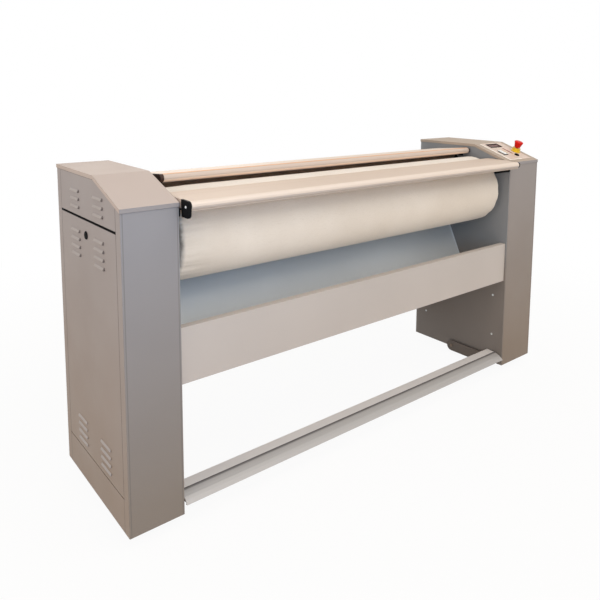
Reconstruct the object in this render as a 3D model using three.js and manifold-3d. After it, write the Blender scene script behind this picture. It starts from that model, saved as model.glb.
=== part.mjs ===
// Flatwork ironer with one padded roll, a heated chest behind it and front linen return.
//
// Millimetres, +Z up. Inside the machine group x runs from the left cabinet's outer side,
// y from the cabinets' fronts to the rear, and z from the cabinets' undersides. The group
// is placed so that the part's origin is the middle of its box, on the floor.

import * as THREE from 'three';
import { mergeVertices } from 'three/addons/utils/BufferGeometryUtils.js';
import Module from 'manifold-3d';

const wasm = await Module();
wasm.setup();

// ---------------------------------------------------------------- driving dimensions

const SEAT = 0.3; // gap left where one piece rests on another
const RUNNING = 0.3; // radial clearance of a pin or shaft in its bore

// cabinets
const LEFT_CABINET_WIDTH = 180;
const RIGHT_CABINET_WIDTH = 230;
const CABINET_GAP = 1665;
const CABINET_DEPTH = 530;
const CABINET_HEIGHT = 1042; // at the back
const LID_BREAK_Y = 198;
const LID_BREAK_DROP = 3; // below the height at the back
const LID_FRONT_DROP = 75;
const LID_SHEET = 1.5;
const LID_SKIRT = 12;
const LID_OVERHANG = 2;
const WALL_SHEET = 2;
const POST_WIDTH = 35;
const KICK_HEIGHT = 105;
const SLOT_DROP = 72; // middle of the finger slot below the lid's front edge
const SLOT_GAP = 6;
const PANEL_SHEET = 1.5;
const PANEL_RETURN = 11;
const PANEL_SIDE_GAP = 0.8;
const PANEL_FOOT_GAP = 3;
const RAIL_WIDTH = 18;

// louvres of the side panels
const LOUVRE_LENGTH = 76;
const LOUVRE_RISE = 11;
const LOUVRE_DEPTH = 4.5;
const LOUVRE_PITCH = 25.5;
const LOUVRE_LIP = 1.5;
const LOUVRE_FRONT_Y = 163; // middle of the front column
const LOUVRE_REAR_INSET = 170; // middle of the rear column, from the cabinet's back
const UPPER_LOUVRE_RISE = 25; // lowest louvre above the finger slot
const DOOR_LOUVRE_DROP = 128; // lowest louvre below the finger slot
const DOOR_LOUVRE_COUNT = 4;
const FOOT_LOUVRE_RISE = 28; // lowest louvre above the kick strip

// quarter-turn lock of the service panel
const LOCK_REAR_INSET = 261;
const LOCK_DROP = 49; // below the finger slot
const LOCK_BEZEL_RADIUS = 13;
const LOCK_BEZEL_HEIGHT = 3;
const LOCK_BARREL_RADIUS = 10;
const LOCK_CAM_LENGTH = 50;
const LOCK_CAM_WIDTH = 14;
const LOCK_CAM_SHEET = 3;
const LOCK_SLOT_WIDTH = 2.4;
const LOCK_SLOT_LENGTH = 12;

// levelling feet
const FOOT_HEIGHT = 40;
const FOOT_RADIUS = 22;
const FOOT_PAD = 9;
const FOOT_PAD_EDGE = 4;
const FOOT_PAD_SLOPE = 8;
const FOOT_STEM_RADIUS = 6;
const FOOT_NUT_RADIUS = 10.8;
const FOOT_NUT = 8;
const FOOT_SIDE_INSET = 60;
const FOOT_FRONT_Y = 85;
const FOOT_REAR_INSET = 75;

// roll
const ROLL_Y = 183;
const ROLL_RISE = 16; // top above the lids' front edges
const ROLL_RADIUS = 150;
const ROLL_END_GAP = 25;
const PADDING_THICKNESS = 12;
const PADDING_SHOULDER = 14;
const PADDING_MOUTH_RADIUS = 66;
const PADDING_GATHERS = 16;
const GATHER_DEPTH = 3.2;
const PADDING_END_DISH = 2; // drawn in from the end, halfway to the mouth
const DRUM_WALL = 6;
const DRUM_DISC = 8;
const JOURNAL_FLANGE_RADIUS = 55;
const JOURNAL_FLANGE = 9.5;
const JOURNAL_RADIUS = 25;
const DRIVE_JOURNAL_RADIUS = 20;
const WALL_HOLE_RADIUS = 29;
const BEARING_SIZE = 110;
const BEARING_CORNER = 18;
const BEARING_FLANGE = 12;
const BEARING_HUB_INSET = 10;
const BEARING_WIDTH = 38;
const IDLE_JOURNAL_REACH = 50; // beyond the inner wall

// heated chest, drawn pressed against the roll and then swung open
const CHEST_NIP = 1.5; // gap to the padding when the chest is pressed up
const CHEST_WALL = 22;
const CHEST_TOP_ANGLE = 60; // from the rearward direction, upwards
const CHEST_BOTTOM_ANGLE = -68;
const CHEST_PIVOT_SETBACK = 75; // behind and below the roll's axis
const CHEST_PIVOT_DROP = 441;
const CHEST_SWING = 1.85; // degrees
const CHEST_SHAFT_RADIUS = 17;
const CHEST_SHAFT_END = 15; // beyond the cabinets' inner sides
const CHEST_COLLAR_RISE = 6;
const CHEST_COLLAR_WIDTH = 10;
const CHEST_BOSS_WALL = 8; // round the shaft, inside a cabinet
const CHEST_BOSS_LENGTH = 20;
const CHEST_ARM_SHEET = 6;
const CHEST_ARM_BOSS_RADIUS = 30;
const CHEST_LEG_GAP = 17; // behind the chute's slope, level
const CHEST_LEG_WIDTH = 38;
const CHEST_LEG_SHOULDER = 18; // behind the jacket
const CHEST_LEVER = 128;
const CHEST_LEVER_ROOT = 14; // half widths
const CHEST_LEVER_END = 10;
const CHEST_ARM_TOP_ANGLE = 48;
const CHEST_ARM_BOTTOM_ANGLE = -66;
const CHEST_FOOT_LOW_ANGLE = -50; // where the leg meets the plate
const CHEST_FOOT_HIGH_ANGLE = -10;
const CHEST_ARM_SETBACK = 8; // its edge behind the face that the roll runs on
const JACKET_DEPTH = 18.5;
const JACKET_SHEET = 2;
const JACKET_TOP_ANGLE = 45;
const JACKET_BOTTOM_ANGLE = -60;
const JACKET_EDGE_ANGLE = 1.2; // taken by a turned-in edge
const HEATER_RADIUS = 4.5;
const HEATER_RUNS = 6;
const HEATER_TOP_ANGLE = 36;
const HEATER_BOTTOM_ANGLE = -49;
const HEATER_END_GAP = 60;

// feed board over the front of the roll, and the finger guard behind the nip
const BOARD_THICKNESS = 27;
const BOARD_FLAT = 112;
const BOARD_BACK_EDGE = 6;
const BOARD_WALL = 2.5;
const BOARD_CAP = 7;
const BOARD_BACK_SOLID = 14; // behind the hollow
const BOARD_HOLLOW_EDGE = 0.5; // the hollow's least height
const FEED_BOARD_DEPTH = 168;
const FEED_BOARD_BACK = 67; // back edge in front of the roll's axis
const FEED_BOARD_DROP = 35; // underside below the roll's top
const FEED_BOARD_TILT = 1.4; // degrees
const FEED_BOARD_END_GAP = 5;
const FEED_CAP_START = 3; // the left cap's lobe, behind the nose
const FEED_CAP_DROP = 24;
const FEED_CAP_CORNER = 14;
const FEED_BRACKET_START = 52;
const FEED_BRACKET_END = 130;
const FEED_BRACKET_SHELF = 22; // ends short of the roll
const FEED_BRACKET_DROP = 42;
const FEED_BRACKET_TIP = 23;
const FEED_BRACKET_SHEET = 4.4;
const GUARD_DEPTH = 185;
const GUARD_SETBACK = 34; // nose behind the roll's axis
const GUARD_RISE = 11.5; // underside above the chest's top edge
const GUARD_TILT = -4.9; // degrees
const GUARD_LEFT_GAP = 48;
const GUARD_RIGHT_GAP = 5.6;
const GUARD_LEFT_CAP = 12;
const GUARD_HINGE_U = 168;
const GUARD_HINGE_W = 13;
const GUARD_PIN_RADIUS = 4;
const GUARD_BRACKET_RADIUS = 11;
const GUARD_PLATE_HALF = 20;
const GUARD_PLATE_SHEET = 2.7;
const GUARD_STOP_DEPTH = 11;
const GUARD_STOP_SHEET = 3;
const GUARD_LEFT_STOP_U = 14;
const GUARD_LEFT_STOP_LENGTH = 18;
const GUARD_RIGHT_STOP_U = 46;
const GUARD_RIGHT_STOP_LENGTH = 26;
const GUARD_STOP_SHORT = 1; // short of the right cap's inner face

// cross panel, chute, rear cover and beam
const CROSS_SHEET = 1.5;
const FRONT_PANEL_Y = 10;
const FRONT_PANEL_SHAFT_GAP = 3; // bottom edge above the chest's shaft
const FRONT_PANEL_HEIGHT = 176;
const FRONT_PANEL_FLANGE = 26;
const CHUTE_TOP_SETBACK = 162; // behind the roll's axis
const CHUTE_TOP_DROP = 171; // below the roll's axis
const CHUTE_FOOT_SETBACK = 46;
const CHUTE_BEND_RADIUS = 30;
const CHUTE_UPSTAND = 16;
const REAR_COVER_INSET = 6; // from the cabinets' backs
const REAR_COVER_BOTTOM = 170;
const REAR_COVER_DROP = 58; // top edge below the cabinets' height
const REAR_COVER_FLANGE = 22;
const BEAM_DROP = 273; // underside below the roll's axis
const BEAM_DEPTH = 40;
const BEAM_RISE = 60;
const BEAM_WALL = 3;

// foot bar and its arms
const PEDAL_PIVOT_Y = 285;
const PEDAL_PIVOT_HEIGHT = 8;
const PEDAL_PIN_RADIUS = 7;
const PEDAL_PIN_END = 3; // beyond the arm
const PEDAL_EYE_RADIUS = 26;
const PEDAL_ARM_SHEET = 6;
const PEDAL_ARM_NECK = 120; // in front of the pivot, where the arm starts to narrow
const PEDAL_ARM_NOSE = 20; // in front of the bar's back
const PEDAL_WALL_GAP = 4;
const PEDAL_TAIL = 53;
const PEDAL_TAIL_DROP = 3;
const PEDAL_TAIL_ROOT = 18; // half widths
const PEDAL_TAIL_END = 9.5;
const BAR_SHEET = 2.5;
const BAR_FRONT_Y = -8;
const BAR_RIDGE_Y = 36;
const BAR_BACK_Y = 80;
const BAR_TOP = 58;
const BAR_RIDGE_DROP = 2; // below the tread's back edge
const BAR_BOTTOM = 32;
const BAR_BULGE = 4;
const BAR_BACK_LIP = 16;
const BAR_FOOT_LIP = 10;
const BAR_FOOT_FALL = 3;
const BAR_END_GAP = 3;
const BAR_GROOVE_INSET = 1;
const BAR_GROOVE_WIDTH = 5;
const BAR_GROOVE_DEPTH = 1.4;
const LINK_PIN_RADIUS = 5;
const LINK_EYE_RADIUS = 11;
const LINK_ROD_RADIUS = 5;
const LINK_EYE_WIDTH = 8;
const LINK_PIN_END = 2; // beyond the eye
const LINK_SIDE_GAP = 3; // between an eye and the pedal arm beside it
const LINK_CHEST_GAP = 1; // between an eye and the chest's arm
const LINK_FREE_CLEARANCE = 0.9; // the rod's upper eye, open round the chest's lever pin

// drive in the right cabinet
const REDUCER_WALL_GAP = 50;
const REDUCER_WIDTH = 96;
const REDUCER_CENTRE_DISTANCE = 72;
const REDUCER_HUB_RADIUS = 62;
const REDUCER_HUB_INSET = 12;
const REDUCER_BOSS_WALL = 12; // round the journal
const REDUCER_WORM_RADIUS = 44;
const REDUCER_WORM_ABOVE = 62;
const REDUCER_WORM_BELOW = 70;
const REDUCER_FOOT_HALF = 12;
const REDUCER_FOOT_LAP = 20; // into the housing
const REDUCER_FOOT_GAP = 6; // from the bearing
const REDUCER_FOOT_END = 30; // behind the worm
const JOURNAL_STEP_BACK = 4; // step of the drive journal before the reducer
const JOURNAL_END = 8; // beyond the reducer
const MOTOR_RADIUS = 58;
const MOTOR_FLANGE = 12;
const MOTOR_LENGTH = 230;
const MOTOR_FINS = 20;
const MOTOR_FIN_DEPTH = 6;
const MOTOR_COWL = 46;
const MOTOR_COWL_RISE = 2;
const TERMINAL_BOX_HALF = 34;
const TERMINAL_BOX_RISE = 22; // behind the motor
const TERMINAL_BOX_LAP = 8; // into the motor
const TERMINAL_BOX_DROP = 40; // below the motor's flange
const TERMINAL_BOX_HEIGHT = 80;

// suction fan in the left cabinet
const FAN_SETBACK = 42; // behind and below the chest's pivot
const FAN_DROP = 92;
const FAN_RADIUS = 118;
const FAN_WIDTH = 72;
const FAN_SHEET = 2;
const FAN_INLET_RADIUS = 58;
const FAN_DUCT = 84;
const FAN_WHEEL_RADIUS = 98;
const FAN_WHEEL_WIDTH = 48;
const FAN_WHEEL_GAP = 4;
const FAN_PLATE_SHEET = 3;
const FAN_HUB_RADIUS = 20;
const FAN_BLADES = 10;
const FAN_BLADE_SHEET = 2.5;
const FAN_MOTOR_RADIUS = 48;
const FAN_MOTOR_LENGTH = 44;
const FAN_SHAFT_RADIUS = 7;
const FAN_SHAFT_SHORT = 12; // the shaft's end before the motor's back
const SPIGOT_RADIUS = 40;
const SPIGOT_LENGTH = 36;

// control console on the right lid's slope
const CONSOLE_SHEET = 1.2;
const SWITCH_DEPTH = 6; // under a key or button that is pressed home
const CONSOLE_X = 30; // from the right cabinet's inner side
const CONSOLE_WIDTH = 170;
const CONSOLE_START = 22; // along the slope from its front edge
const CONSOLE_LENGTH = 182;
const WINDOW_X = 65;
const WINDOW_WIDTH = 85;
const WINDOW_START = 158;
const WINDOW_LENGTH = 31;
const KEY_X = 64;
const KEY_WIDTH = 21;
const KEY_START = 79;
const KEY_LENGTH = 41;
const KEY_PROUD = 3.5;
const KEY_TRAVEL = 2;
const BUTTON_X = 140;
const BUTTON_START = 62;
const BUTTON_RADIUS = 11;
const BUTTON_PROUD = 5;
const BUTTON_TRAVEL = 3;
const STOP_SIDE = 46; // inside the right cabinet's outer side
const STOP_START = 99;
const STOP_COLLAR_RADIUS = 22;
const STOP_COLLAR_HEIGHT = 18;
const STOP_COLLAR_STEP = 6;
const STOP_SHANK_RADIUS = 11;
const STOP_SHANK_LENGTH = 26;
const STOP_HEAD_RADIUS = 20.5;
const STOP_HEAD_HEIGHT = 28;
const STOP_RIM_DROP = 6; // widest place below the top
const STOP_WAIST_RADIUS = 13.5;
const STOP_STEM_RADIUS = 6;
const STOP_TRAVEL = 5;
const EDGE_ROUND = 1.5;

// electrical parts
const CONTROL_BOX_X = 22; // from the right cabinet's inner wall
const CONTROL_BOX_WIDTH = 130;
const CONTROL_BOX_FRONT_GAP = 17; // behind the motor's terminal box
const CONTROL_BOX_REAR_GAP = 28; // in front of the cabinet's back
const CONTROL_BOX_DROP = 273; // underside below the roll's axis
const CONTROL_BOX_HEIGHT = 300;
const CONTROL_BOX_FIXING_INSET = 20;
const GLAND_X = 140;
const GLAND_HEIGHT = 150;
const GLAND_RADIUS = 14;
const GLAND_NECK_RADIUS = 11;
const GLAND_HEX = 9;
const GLAND_BORE = 6.5;
const GLAND_LENGTH = 24;
const GLAND_THREAD = 8; // inside the cabinet

// ---------------------------------------------------------------- values that follow

const radians = THREE.MathUtils.degToRad;
const degrees = THREE.MathUtils.radToDeg;

const LID_BREAK_HEIGHT = CABINET_HEIGHT - LID_BREAK_DROP;
const LID_FRONT_HEIGHT = CABINET_HEIGHT - LID_FRONT_DROP;
const SLOT_HEIGHT = LID_FRONT_HEIGHT - SLOT_DROP;
const LOUVRE_REAR_Y = CABINET_DEPTH - LOUVRE_REAR_INSET;
const LOCK_Y = CABINET_DEPTH - LOCK_REAR_INSET;
const LOCK_HEIGHT = SLOT_HEIGHT - LOCK_DROP;
const LEFT_WALL_X = LEFT_CABINET_WIDTH;
const RIGHT_WALL_X = LEFT_CABINET_WIDTH + CABINET_GAP;
const OVERALL_WIDTH = RIGHT_WALL_X + RIGHT_CABINET_WIDTH;
const LEFT_FACE_X = LEFT_WALL_X - LID_OVERHANG; // faces of the inner walls, under the lids
const RIGHT_FACE_X = RIGHT_WALL_X + LID_OVERHANG;
const REAR_FACE_Y = CABINET_DEPTH - LID_OVERHANG;
const FRAME_FRONT_X = LID_OVERHANG + PANEL_RETURN + SEAT;
const FRAME_BACK_X = FRAME_FRONT_X + WALL_SHEET;
const SLOPE_LENGTH = Math.hypot(LID_BREAK_Y, LID_BREAK_HEIGHT - LID_FRONT_HEIGHT);
const SLOPE_ANGLE = Math.atan2(LID_BREAK_HEIGHT - LID_FRONT_HEIGHT, LID_BREAK_Y);
const FAR = 3000; // beyond every face, for cutters
const CUT = 5; // past a sheet's two faces, for the cutter of a hole
const ROLL_TOP = LID_FRONT_HEIGHT + ROLL_RISE;
const ROLL_HEIGHT = ROLL_TOP - ROLL_RADIUS;
const DRUM_RADIUS = ROLL_RADIUS - PADDING_THICKNESS;
const PADDING_LENGTH = CABINET_GAP - 2 * ROLL_END_GAP;
const LINK_X = PEDAL_WALL_GAP + PEDAL_ARM_SHEET + LINK_SIDE_GAP; // from the cabinet
const CHEST_END_GAP = LINK_X - LINK_CHEST_GAP + SEAT;
const CHEST_RADIUS = ROLL_RADIUS + CHEST_NIP;
const CHEST_BACK_RADIUS = CHEST_RADIUS + CHEST_WALL;
const JACKET_RADIUS = CHEST_BACK_RADIUS + JACKET_DEPTH;
const HEATER_STEP_ANGLE = (HEATER_TOP_ANGLE - HEATER_BOTTOM_ANGLE) / (HEATER_RUNS - 1);
const CHEST_TOP = ROLL_HEIGHT + CHEST_BACK_RADIUS * Math.sin(radians(CHEST_TOP_ANGLE));
const GUARD_HEIGHT = CHEST_TOP + GUARD_RISE;
const FEED_BOARD_Y = ROLL_Y - FEED_BOARD_BACK - FEED_BOARD_DEPTH;
const CHEST_PIVOT_Y = ROLL_Y + CHEST_PIVOT_SETBACK;
const CHEST_PIVOT_HEIGHT = ROLL_HEIGHT - CHEST_PIVOT_DROP;
const FRONT_PANEL_BOTTOM = CHEST_PIVOT_HEIGHT + CHEST_SHAFT_RADIUS + FRONT_PANEL_SHAFT_GAP;
const FRONT_PANEL_TOP = FRONT_PANEL_BOTTOM + FRONT_PANEL_HEIGHT;
const REAR_COVER_Y = CABINET_DEPTH - REAR_COVER_INSET;
const BAR_RIDGE_HEIGHT = BAR_TOP - BAR_RIDGE_DROP;
const REDUCER_BACK_Y = ROLL_Y + REDUCER_CENTRE_DISTANCE;
const TERMINAL_BOX_Y = REDUCER_BACK_Y + MOTOR_RADIUS + TERMINAL_BOX_RISE;
const STOP_X = RIGHT_CABINET_WIDTH - STOP_SIDE;
const FAN_Y = CHEST_PIVOT_Y + FAN_SETBACK;
const FAN_CENTRE_HEIGHT = CHEST_PIVOT_HEIGHT - FAN_DROP;

// ---------------------------------------------------------------- materials

const finish = (color, roughness, metalness) =>
  new THREE.MeshStandardMaterial({ color, roughness, metalness });

const GREY_PAINT = finish(0xa39a96, 0.55, 0.1);
const PALE_PAINT = finish(0xd0c6be, 0.5, 0.1);
const INNER_PAINT = finish(0x6c6864, 0.6, 0.1);
const CROSS_PAINT = finish(0xc8beba, 0.5, 0.1);
const CHUTE_PAINT = finish(0x8f979c, 0.4, 0.3);
const BOARD_ALUMINIUM = finish(0xe4d2c4, 0.35, 0.4);
const BAR_ALUMINIUM = finish(0xbab2aa, 0.4, 0.5);
const CHEST_ALUMINIUM = finish(0xb5b5b2, 0.25, 0.9);
const STEEL = finish(0x8d8d8f, 0.35, 0.9);
const CLOTH = finish(0xe6ddd0, 0.95, 0);
const BLACK_PLASTIC = finish(0x17171a, 0.45, 0);
const RED_PLASTIC = finish(0xd22a1c, 0.35, 0);
const YELLOW_PLASTIC = finish(0xe8c81e, 0.4, 0);
const CREAM_FILM = finish(0xe8dccb, 0.4, 0);
const WHITE_PLASTIC = finish(0xf2eee6, 0.35, 0);
const DARK_WINDOW = finish(0x3a241c, 0.15, 0);
const MOTOR_PAINT = finish(0x4c5a66, 0.5, 0.2);

// ---------------------------------------------------------------- geometry helpers

/** Closed geometry to a manifold solid, with its shared vertices merged. */
function solid(geometry) {
  const bare = geometry.clone();
  bare.deleteAttribute('normal');
  bare.deleteAttribute('uv');
  const merged = mergeVertices(bare, 1e-4);
  return new wasm.Manifold(new wasm.Mesh({
    numProp: 3,
    vertProperties: Float32Array.from(merged.attributes.position.array),
    triVerts: Uint32Array.from(merged.index.array),
  }));
}

/** Manifold solid back to a three.js geometry. */
function geometryOf(body) {
  const mesh = body.getMesh();
  const geometry = new THREE.BufferGeometry();
  geometry.setAttribute('position', new THREE.BufferAttribute(mesh.vertProperties, 3));
  geometry.setIndex(new THREE.BufferAttribute(mesh.triVerts, 1));
  geometry.computeVertexNormals();
  return geometry;
}

const join = (first, ...others) => others.reduce((body, other) => body.add(other), first);
const cut = (first, ...others) => others.reduce((body, other) => body.subtract(other), first);

function box(x0, x1, y0, y1, z0, z1) {
  const unit = new THREE.BoxGeometry(1, 1, 1).translate(0.5, 0.5, 0.5);
  const place = new THREE.Matrix4().makeScale(x1 - x0, y1 - y0, z1 - z0).setPosition(x0, y0, z0);
  return solid(unit.applyMatrix4(place));
}

const AXES = {
  x: new THREE.Matrix4().makeBasis(
    new THREE.Vector3(0, 1, 0), new THREE.Vector3(0, 0, 1), new THREE.Vector3(1, 0, 0)),
  y: new THREE.Matrix4().makeBasis(
    new THREE.Vector3(0, 0, 1), new THREE.Vector3(1, 0, 0), new THREE.Vector3(0, 1, 0)),
  z: new THREE.Matrix4(),
};

/** Outline extruded along an axis: [y, z] points along x, [z, x] along y, [x, y] along z. */
function prism(axis, outline, from, to, holes = []) {
  const shape = new THREE.Shape(outline.map(([a, b]) => new THREE.Vector2(a, b)));
  shape.holes = holes.map((hole) => new THREE.Path(hole.map(([a, b]) => new THREE.Vector2(a, b))));
  const unit = new THREE.ExtrudeGeometry(shape, { depth: 1, bevelEnabled: false });
  const place = new THREE.Matrix4().makeScale(1, 1, to - from).setPosition(0, 0, from);
  return solid(unit.applyMatrix4(place.premultiply(AXES[axis])));
}

/** Profile of [radius, distance] points turned round an axis through the origin. */
function turned(axis, profile, segments) {
  const points = profile.map(([r, along]) => new THREE.Vector2(r, along));
  const geometry = new THREE.LatheGeometry(points, segments);
  const upright = new THREE.Matrix4().makeRotationX(Math.PI / 2); // lathe axis y to z
  return solid(geometry.applyMatrix4(upright).applyMatrix4(AXES[axis]));
}

/** Solid cylinder from one distance to another along an axis through the origin. */
const cylinder = (axis, radius, from, to, segments = 24) =>
  turned(axis, [[0, from], [radius, from], [radius, to], [0, to]], segments);

/** Points of an arc, angles in degrees, both ends included. */
function arc(cx, cy, radius, from, to, steps) {
  return Array.from({ length: steps + 1 }, (_, i) => {
    const angle = radians(from + ((to - from) * i) / steps);
    return [cx + radius * Math.cos(angle), cy + radius * Math.sin(angle)];
  });
}

const circle = (cx, cy, radius, segments) => arc(cx, cy, radius, 0, 360, segments).slice(0, -1);

/** Closed outline of a folded sheet: an open line of points, thickened to its left side. */
function foldedSheet(line, thickness) {
  const offset = line.map((point, i) => {
    const before = line[Math.max(i - 1, 0)];
    const after = line[Math.min(i + 1, line.length - 1)];
    const normals = [[before, point], [point, after]]
      .map(([p, q]) => [-(q[1] - p[1]), q[0] - p[0]])
      .map(([a, b]) => [a, b, Math.hypot(a, b)])
      .filter(([, , length]) => length > 0)
      .map(([a, b, length]) => [a / length, b / length]);
    const [first, last] = [normals[0], normals[normals.length - 1]];
    const reach = thickness / (1 + first[0] * last[0] + first[1] * last[1]);
    return [point[0] + (first[0] + last[0]) * reach, point[1] + (first[1] + last[1]) * reach];
  });
  return [...line, ...offset.reverse()];
}

/** Solid lofted through rings of [x, y, z] points; a looped one joins its ends, others are flat. */
function loft(rings, looped = false) {
  const count = rings[0].length;
  const spans = looped ? rings.length : rings.length - 1;
  const index = [];
  for (let i = 0; i < spans; i += 1) {
    const [here, next] = [i * count, ((i + 1) % rings.length) * count];
    for (let j = 0; j < count; j += 1) {
      const k = (j + 1) % count;
      index.push(here + j, next + j, here + k, here + k, next + j, next + k);
    }
  }
  if (!looped) {
    const end = spans * count;
    for (let j = 1; j < count - 1; j += 1) index.push(0, j, j + 1, end, end + j + 1, end + j);
  }
  const geometry = new THREE.BufferGeometry();
  geometry.setAttribute('position', new THREE.Float32BufferAttribute(rings.flat(2), 3));
  geometry.setIndex(index);
  return solid(geometry);
}

// ---------------------------------------------------------------- scene graph

const ironer = new THREE.Group();
const machine = new THREE.Group();
ironer.add(machine);

function addPiece(name, body, material, parent = machine) {
  const mesh = new THREE.Mesh(geometryOf(body), material);
  mesh.name = name;
  parent.add(mesh);
  return mesh;
}

/** Group at a point of the machine, turned about x by an angle in degrees. */
function addGroup(x, y, z, tilt = 0, parent = machine) {
  const group = new THREE.Group();
  group.position.set(x, y, z);
  group.rotation.x = radians(tilt);
  parent.add(group);
  return group;
}

/** Same solid with left and right swapped about the plane x = 0. */
function mirrored(body) {
  const geometry = geometryOf(body).scale(-1, 1, 1);
  const index = geometry.index.array;
  for (let i = 0; i < index.length; i += 3) [index[i], index[i + 1]] = [index[i + 1], index[i]];
  return solid(geometry);
}

// ---------------------------------------------------------------- cabinets

/** Height of the lid's top face over a depth y. */
function lidHeight(y) {
  if (y <= LID_BREAK_Y) {
    return LID_FRONT_HEIGHT + (y / LID_BREAK_Y) * (LID_BREAK_HEIGHT - LID_FRONT_HEIGHT);
  }
  const back = (y - LID_BREAK_Y) / (CABINET_DEPTH - LID_BREAK_Y);
  return LID_BREAK_HEIGHT + back * (CABINET_HEIGHT - LID_BREAK_HEIGHT);
}

/** Side outline between two depths, from a height up to a drop below the lid's top face. */
function underLid(y0, y1, bottom, drop) {
  const breaks = y0 < LID_BREAK_Y && LID_BREAK_Y < y1 ? [LID_BREAK_Y] : [];
  const top = [y1, ...breaks, y0].map((y) => [y, lidHeight(y) - drop]);
  return [[y0, bottom], [y1, bottom], ...top];
}

/** Cabinet box with its outer side at x = 0: walls, posts, kick strip and panel frame. */
function cabinetShell(width) {
  const [x0, x1] = [LID_OVERHANG, width - LID_OVERHANG];
  const [y0, y1] = [LID_OVERHANG, REAR_FACE_Y];
  const t = WALL_SHEET;
  const postEnds = [POST_WIDTH, CABINET_DEPTH - POST_WIDTH];
  const walls = prism('x', underLid(y0, y1, 0, LID_SHEET + SEAT), x0, x1);
  const inside = (xa, xb, ya, yb, za, zb = FAR) => box(xa, xb, ya, yb, za, zb);
  const shell = cut(
    walls,
    inside(x0 + t, x1 - t, y0 + t, postEnds[0] - t, t),
    inside(x0 + t, x1 - t, postEnds[1] + t, y1 - t, t),
    inside(FRAME_BACK_X, x1 - t, y0 + t, y1 - t, t),
    inside(x0 + t, x1 - t, y0 + t, y1 - t, t, KICK_HEIGHT - t),
    inside(-t, FRAME_FRONT_X, postEnds[0], postEnds[1], KICK_HEIGHT),
  );
  const windowEnds = [postEnds[0] + RAIL_WIDTH, postEnds[1] - RAIL_WIDTH];
  const lowWindow = box(FRAME_FRONT_X - t, FRAME_BACK_X + t, ...windowEnds,
    KICK_HEIGHT + RAIL_WIDTH, SLOT_HEIGHT - RAIL_WIDTH);
  const topWindow = prism('x',
    underLid(...windowEnds, SLOT_HEIGHT + RAIL_WIDTH, LID_SKIRT + RAIL_WIDTH),
    FRAME_FRONT_X - t, FRAME_BACK_X + t);
  return cut(shell, lowWindow, topWindow);
}

/** Holes and welded bosses of the inner wall, for the roll, the chest and the foot bar. */
function withInnerWallFittings(shell, width) {
  const face = width - LID_OVERHANG;
  const at = (body, y, z) => body.translate([0, y, z]);
  const bossEnd = face - CHEST_BOSS_LENGTH;
  const boss = cylinder('x', CHEST_SHAFT_RADIUS + CHEST_BOSS_WALL, bossEnd, face - WALL_SHEET / 2);
  const pin = cylinder('x', PEDAL_PIN_RADIUS, face - WALL_SHEET / 2,
    width + PEDAL_WALL_GAP + PEDAL_ARM_SHEET + PEDAL_PIN_END, 20);
  const journalHole = cylinder('x', WALL_HOLE_RADIUS, face - CUT, face + CUT, 28);
  const shaftHole = cylinder('x', CHEST_SHAFT_RADIUS + RUNNING, bossEnd - CUT, face + CUT, 24);
  return cut(
    join(shell, at(boss, CHEST_PIVOT_Y, CHEST_PIVOT_HEIGHT),
      at(pin, PEDAL_PIVOT_Y, PEDAL_PIVOT_HEIGHT)),
    at(journalHole, ROLL_Y, ROLL_HEIGHT),
    at(shaftHole, CHEST_PIVOT_Y, CHEST_PIVOT_HEIGHT),
  );
}

/** Folded lid: a sheet over the whole cabinet with a skirt hanging down all round. */
function cabinetLid(width) {
  const band = (inset, drop, depth) => [
    ...[inset, LID_BREAK_Y, CABINET_DEPTH - inset].map((y) => [y, lidHeight(y) - depth]),
    ...[CABINET_DEPTH - inset, LID_BREAK_Y, inset].map((y) => [y, lidHeight(y) - drop]),
  ];
  const outside = prism('x', band(0, 0, LID_SKIRT), 0, width);
  const hollow = prism('x', band(LID_SHEET, LID_SHEET, 2 * LID_SKIRT),
    LID_SHEET, width - LID_SHEET);
  return cut(outside, hollow);
}

/** Pressed louvre: a scoop open at its foot over a slit through the sheet, mouth at z = 0. */
function louvre(y) {
  const sheet = LID_OVERHANG;
  const out = sheet - LOUVRE_DEPTH;
  const t = PANEL_SHEET;
  const half = LOUVRE_LENGTH / 2;
  const hood = [[0, out], [LOUVRE_LIP, out], [LOUVRE_RISE, sheet + t / 2], [0, sheet + t / 2]];
  const hollow = [[-t, out + t], [LOUVRE_LIP, out + t], [LOUVRE_RISE - 2 * t, sheet + 2 * t],
    [0, sheet + 2 * t], [0, sheet], [-t, sheet]];
  return {
    scoop: prism('y', hood, y - half, y + half),
    slit: prism('y', hollow, y - half + t, y + half - t),
  };
}

/** Adds columns of louvres, the lowest at the given height, to a side panel. */
function withLouvres(panel, columns) {
  let body = panel;
  for (const { y, height, count } of columns) {
    const { scoop, slit } = louvre(y);
    for (let i = 0; i < count; i += 1) {
      const up = [0, 0, height + i * LOUVRE_PITCH];
      body = cut(join(body, scoop.translate(up)), slit.translate(up));
    }
  }
  return body;
}

/** Pan-shaped side panel: a sheet with its rim turned inwards. */
function sidePan(outline, inner) {
  const face = LID_OVERHANG;
  return cut(
    prism('x', outline, face, face + PANEL_RETURN),
    prism('x', inner, face + PANEL_SHEET, face + 2 * PANEL_RETURN),
  );
}

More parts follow.
